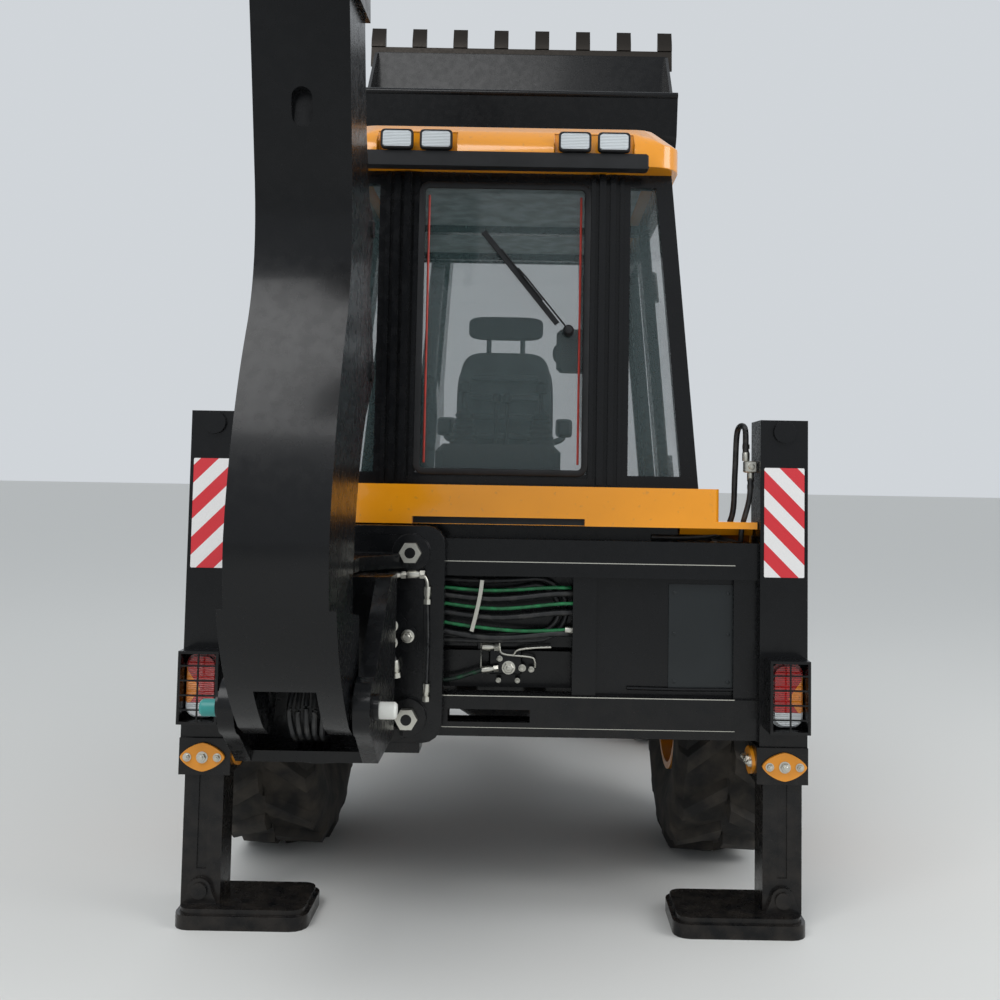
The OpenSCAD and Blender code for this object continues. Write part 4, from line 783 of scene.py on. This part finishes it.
def crossing(y, heights, left, turn):
    """Hose laid from the left end across to a place where it turns in through the panel."""
    run = [at(left + (turn - left) * t, y, h) for t, h in zip((0.0, 0.45, 0.86), heights)]
    last = heights[2]
    return smooth_route(run + [at(turn, y + 0.012, last), at(turn + 0.016, y + 0.04, last),
                               at(turn + 0.018, y + 0.07, last)])


def looped(radius, y, right, mid, left, sag):
    """Side-lying loop: out along the top with a sag, half a circle, and back along the bottom."""
    bend = right - LOOP_R - radius
    turn = np.linspace(math.pi / 2, -math.pi / 2, 14)
    run = np.linspace(0, 1, 8)
    dip = sag * np.sin(run * math.pi)
    top = [at(left + (bend - left) * t, y, mid + radius - d) for t, d in zip(run[:-1], dip)]
    half = [at(bend + radius * math.cos(a), y, mid + radius * math.sin(a)) for a in turn]
    back = [at(bend + (left - bend) * t, y, mid - radius - 0.4 * d) for t, d in zip(run[1:], dip[1:])]
    return np.array(top + half + back)


def hose_bundle():
    """Hoses between the rails: two loops behind, and six laid across in front, strapped together."""
    low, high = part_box("hose_loop")
    mid = (low[2] + high[2]) / 2
    left, right = low[0], high[0]
    # Radius of the bend, place lengthways, how far short of the right end, and sag
    loops = ((0.118, -0.910, 0.0, 0.012), (0.094, -0.912, 0.03, 0.03))
    thick = [tube(looped(radius, y, right - short, mid, left, sag), LOOP_R, 14)
             for radius, y, short, sag in loops]
    # Place lengthways, heights at the left end, at the middle and where the hose turns in, and that place
    laid = ((-0.948, (1.222, 1.198, 1.222), 0.300), (-0.944, (1.160, 1.128, 1.150), 0.315),
            (-0.950, (1.090, 1.052, 1.070), 0.285))
    thick += [tube(crossing(y, heights, left, turn), THICK_R, 14) for y, heights, turn in laid]
    laid_thin = ((-0.966, (1.250, 1.232, 1.246), 0.270), (-0.968, (1.192, 1.164, 1.186), 0.325))
    thin = [tube(crossing(y, heights, left, turn), THIN_R) for y, heights, turn in laid_thin]
    end = at(0.262, -0.948, 1.086)
    short_run = [at(left, -0.968, 1.125), at(-0.12, -0.968, 1.098), at(0.06, -0.968, 1.082),
                 at(0.18, -0.958, 1.082), end]
    thin.append(tube(smooth_route(short_run), THIN_R))
    black = hose_finish("black_hose", "#1a1b1d")
    green = hose_finish("green_hose", "#0b5a32", "#148a4c")
    made = piece("black_hoses", "machine", "black_plastic", black, *thick)
    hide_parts("hose_loop")
    piece("green_hoses", "machine", "black_plastic", green, *thin)
    # Strap over the bundle, and the pipe that the lowest green hose ends in
    strap_places = ((-0.058, 1.272), (-0.066, 1.21), (-0.080, 1.14), (-0.095, 1.078))
    strap = smooth_route([at(x, -0.980, z) for x, z in strap_places])
    pipe_run = [end + (0.05, 0, -0.004), end + (0.13, 0.002, -0.006), end + (0.155, 0.012, -0.004),
                end + (0.16, 0.045, 0.0)]
    outlet = end_fitting(end, (1, 0, -0.08), 0.010) + [tube(smooth_route(pipe_run), 0.0075)]
    piece("hose_strap", "machine", "rod_chrome", FINISH["zinc"],
          carried(rounded(0.016, 0.004, 0.001, 2), strap, FORWARDS), *outlet)


def valve_fittings():
    """Valve block under the hoses with its pipes, plugs and hose."""
    block = [box(at(-0.03, -0.90, 0.905), at(0.10, -0.84, 1.0), 0.006),
             box(at(-0.075, -0.9, 1.0), at(-0.045, -0.88, 1.06), 0.003)]
    piece("valve_block", "machine", "black_paint", FINISH["black_paint"], *block)
    pipes = [tube(smooth_route([at(0.012, -0.91, 1.065), at(0.012, -0.912, 1.01), at(0.03, -0.915, 0.985),
                                at(0.13, -0.915, 0.975), at(0.148, -0.912, 0.96), at(0.15, -0.905, 0.935)]),
                  0.0045),
             tube(smooth_route([at(0.066, -0.925, 0.985), at(0.082, -0.928, 1.003), at(0.14, -0.928, 1.012),
                                at(0.21, -0.928, 1.016)]), 0.0045),
             tube([at(-0.06, -0.91, 1.06), at(-0.06, -0.912, 0.99), at(-0.06, -0.91, 0.93)], 0.004)]
    # Place across, height, and size across the flats of each plug
    plugs = ((0.047, 0.931, 0.036), (0.0085, 0.882, 0.014), (0.082, 0.882, 0.014), (0.012, 0.965, 0.016),
             (0.1, 0.93, 0.02), (0.135, 0.925, 0.016))
    for x, z, flats in plugs:
        pipes += hex_nut(at(x, -0.90, z), BACKWARDS, flats, 0.014)
    pipes += end_fitting(at(-0.055, -0.93, 0.925), (1, 0, 0.12), 0.010)
    pipes += end_fitting(at(-0.055, -0.915, 1.012), ACROSS, 0.012)
    piece("frame_pipes", "machine", "rod_chrome", FINISH["zinc"], *pipes)
    lead = smooth_route([at(-0.29, -0.935, 0.88), at(-0.17, -0.935, 0.89), at(-0.055, -0.93, 0.925)])
    piece("valve_hose", "machine", "black_plastic", hose_finish("dark_green_hose", "#12251c", "#1d5a38"),
          tube(lead, 0.0075))


def frame_trim():
    """Plate and pipe at the right of the frame, painted highlight lines along the rails, and the yellow
    band's slot drawn as a strip of painted shade.
    """
    panel = AXLE_Y - 0.955
    plate_face = panel - 0.004
    plate = [box((0.657, plate_face, 0.862), (0.908, panel - 0.0002, 1.268), 0.0015)]
    screw = [(0, 0.007), (0.003, 0.007), (0.005, 0.003)]
    for x in (0.68, 0.885):
        for z in (0.90, 1.08, 1.235):
            plate.append(turned(screw, (x, plate_face, z), BACKWARDS, 12))
    grey_black = enamel("grey_black_enamel", "#1d2224", 0.3, dust=0.1, dust_top=1.0, shine=0.3)
    piece("cover_plate", "machine", "black_paint", grey_black, *plate)
    rod = tube([at(0.50, -0.965, 0.872), at(0.7, -0.965, 0.870), at(0.905, -0.965, 0.872)], 0.0065)
    piece("panel_pipe", "machine", "black_paint", FINISH["black_paint"], rod)
    # Thin bright zinc lines painted as highlights along the rails' lips: height and width of each
    painted_highlight_lines = ((1.343, 0.003), (0.8385, 0.003), (0.722, 0.002))
    edges = [box(at(-0.905, -1.00025, z), at(0.905, -0.9985, z + tall), 0.0002) for z, tall in painted_highlight_lines]
    piece("painted_rail_highlights", "machine", "worn_steel", FINISH["zinc"], *edges)
    # Black strip painted as the shade inside the yellow band's slot
    slot = box(at(-0.328, -0.9815, 1.4865), at(0.328, -0.9795, 1.5115), 0.0005)
    piece("band_slot_painted_shade", "machine", "black_plastic", FINISH["black_plastic"], slot)


def side_hoses():
    """Bracket, valve and two hoses at the inner side of the right sleeve."""
    x = 0.956
    y = -0.95
    long_run = [at(x - 0.005, y, 1.77), at(x - 0.012, y - 0.02, 1.87), at(x - 0.03, y + 0.04, 1.86),
                at(x - 0.035, y + 0.06, 1.7), at(x - 0.045, y + 0.065, 1.53),
                at(x - 0.10, y + 0.065, 1.462), at(x - 0.22, y + 0.065, 1.4435),
                at(x - 0.36, y + 0.065, 1.4425)]
    short_run = [at(x + 0.012, y - 0.01, 1.70), at(x + 0.006, y - 0.02, 1.6), at(x - 0.015, y, 1.5),
                 at(x - 0.02, y + 0.02, 1.435)]
    piece("side_hoses", "machine", "black_plastic", hose_finish("side_hose", "#18191b"),
          tube(smooth_route(long_run), 0.0115), tube(smooth_route(short_run), 0.0105))
    metal = [box(at(x - 0.012, y - 0.03, 1.70), at(x + 0.034, y + 0.02, 1.745), 0.004)]
    metal += end_fitting(at(x - 0.004, y, 1.745), UPWARDS, 0.011)
    metal += end_fitting(at(x + 0.012, y - 0.01, 1.70), DOWNWARDS, 0.010)
    metal += hex_nut(at(x + 0.01, y - 0.03, 1.722), BACKWARDS, 0.02, 0.012)
    piece("side_valve", "machine", "rod_chrome", FINISH["zinc"], *metal)


# Carriage, boom foot and wheels


def carriage_fittings():
    """Nuts, bolts, pipes and hoses on the sliding carriage's rear face."""
    zinc = FINISH["zinc"]
    # Rear faces of the carriage's plate, its clamps and their nuts, measured from the rear axle
    plate = -1.076
    clamp_face = -1.104
    nut_face = clamp_face - 0.035
    pipe_y = plate - 0.03
    clamp_screws = [(CARRIAGE_X + s * 0.25, z) for s in SIDES for z in (0.774, 1.380)]
    # Clamping screws: a hexagon, a round collar on its face, and the screw's dark end
    nuts, ends = [], []
    for x, z in clamp_screws:
        nuts.append(prism(circle(0.0415, 6), at(x, clamp_face, z), at(x, nut_face, z)))
        nuts.append(prism(circle(0.036, 24), at(x, nut_face, z), at(x, nut_face - 0.002, z)))
        ends.append(prism(circle(0.02, 20), at(x, nut_face - 0.0015, z), at(x, nut_face - 0.0035, z)))
    for x, z in ((-0.387, 1.107), (-0.326, 1.070), (-0.387, 1.045)):
        nuts += hex_nut(at(x, plate - 0.012, z), BACKWARDS, 0.034, 0.02)
    piece("carriage_nuts", "carriage", "rod_chrome", zinc, *nuts)
    boss = np.array([(-0.43, 1.155), (-0.36, 1.155), (-0.29, 1.085), (-0.29, 1.02), (-0.43, 1.01)])
    piece("carriage_boss", "carriage", "black_paint", FINISH["black_paint"], *ends,
          prism(boss, at(0, plate, 0), at(0, plate - 0.012, 0)))
    pipe = [tube(smooth_route([at(-0.43, pipe_y, 1.292), at(-0.36, pipe_y, 1.30), at(-0.285, pipe_y, 1.30),
                               at(-0.258, pipe_y, 1.275), at(-0.255, pipe_y, 1.211)]), 0.0065)]
    pipe += end_fitting(at(-0.40, pipe_y, 1.296), (1, 0, 0.03), 0.011)
    pipe += end_fitting(at(-0.33, pipe_y, 1.30), ACROSS, 0.012)
    pipe += end_fitting(at(-0.255, pipe_y, 1.255), DOWNWARDS, 0.010)
    pipe += end_fitting(at(-0.252, pipe_y, 0.90), DOWNWARDS, 0.010)
    pipe += end_fitting(at(-0.37, plate - 0.04, 0.985), (0.15, 0, -1), 0.013)
    pipe += end_fitting(at(-0.39, plate - 0.045, 0.93), (-1, 0, 0.05), 0.012)
    piece("carriage_pipes", "carriage", "rod_chrome", zinc, *pipe)
    thin = [at(-0.255, pipe_y, 1.20), at(-0.25, plate - 0.026, 1.05), at(-0.252, pipe_y, 0.88)]
    thick = [at(-0.44, plate - 0.02, 1.24), at(-0.465, plate - 0.05, 1.25), at(-0.455, plate - 0.06, 1.18),
             at(-0.41, plate - 0.05, 1.06), at(-0.37, plate - 0.04, 0.985)]
    piece("carriage_hoses", "carriage", "black_plastic", hose_finish("carriage_hose", "#1b1c1e"),
          tube(smooth_route(thin), 0.0055), tube(smooth_route(thick), 0.012))


def foot_fittings():
    """Caps on the boom pivot's pin, and the hoses that pass through the arch of the boom's foot."""
    pin_y = -1.85
    pin_z = 0.95
    cap = [(0.0, 0.026), (0.045, 0.026), (0.052, 0.02), (0.054, 0.004)]
    caps = {"right": nylon("white_nylon_cap", "#dcdcd6"), "left": nylon("teal_nylon_cap", "#2f8f8a")}
    for s, side in reversed(LEFT_RIGHT):
        piece(f"pin_cap_{side}", "kingpost", "black_plastic", caps[side],
              turned(cap, at(CARRIAGE_X + s * 0.245, pin_y, pin_z), (s, 0, 0)))
    hoses = []
    for k in range(-2, 3):
        x = CARRIAGE_X + 0.0225 * k
        run = [at(x, pin_y + 0.13, 0.985), at(x + 0.004 * k, pin_y + 0.115, 0.92 - 0.01 * (k % 2)),
               at(x, pin_y + 0.16, 0.835), at(x, pin_y + 0.28, 0.80)]
        hoses.append(tube(smooth_route(run), 0.0095, 10))
    piece("foot_hoses", "kingpost", "black_plastic", hose_finish("foot_hose", "#17181a"), *hoses)


def wheel_nuts():
    """Ring of wheel nuts on each rim's dish: cosine and sine of even steps, times the ring's radius."""
    # Number of nuts, radius of their ring, and the dish face's distance from the machine's middle
    rings = {"rear": (8, 0.14, 0.985), "front": (6, 0.12, 0.975)}
    for s, side in LEFT_RIGHT:
        for end, (count, ring, face) in rings.items():
            middle = np.mean(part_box(f"{end}_rim_{side}"), axis=0)
            nuts = []
            for y, z in middle[1:] + circle(ring, count):
                nuts += hex_nut((s * face, y, z), (s, 0, 0), 0.032, 0.02)
            piece(f"{end}_wheel_nuts_{side}", f"{end}_wheel_{side}", "rod_chrome", FINISH["zinc"], *nuts)


photo_camera()
studio()
ground()
finish_nodes()
shade_solids()
sleeve_fittings()
lamp_glasses()
window_fittings()
cab_lining()
driver_seat()
cab_controls()
hose_bundle()
valve_fittings()
frame_trim()
carriage_fittings()
foot_fittings()
wheel_nuts()
side_hoses()
bpy.context.scene.view_settings.view_transform = "Standard"
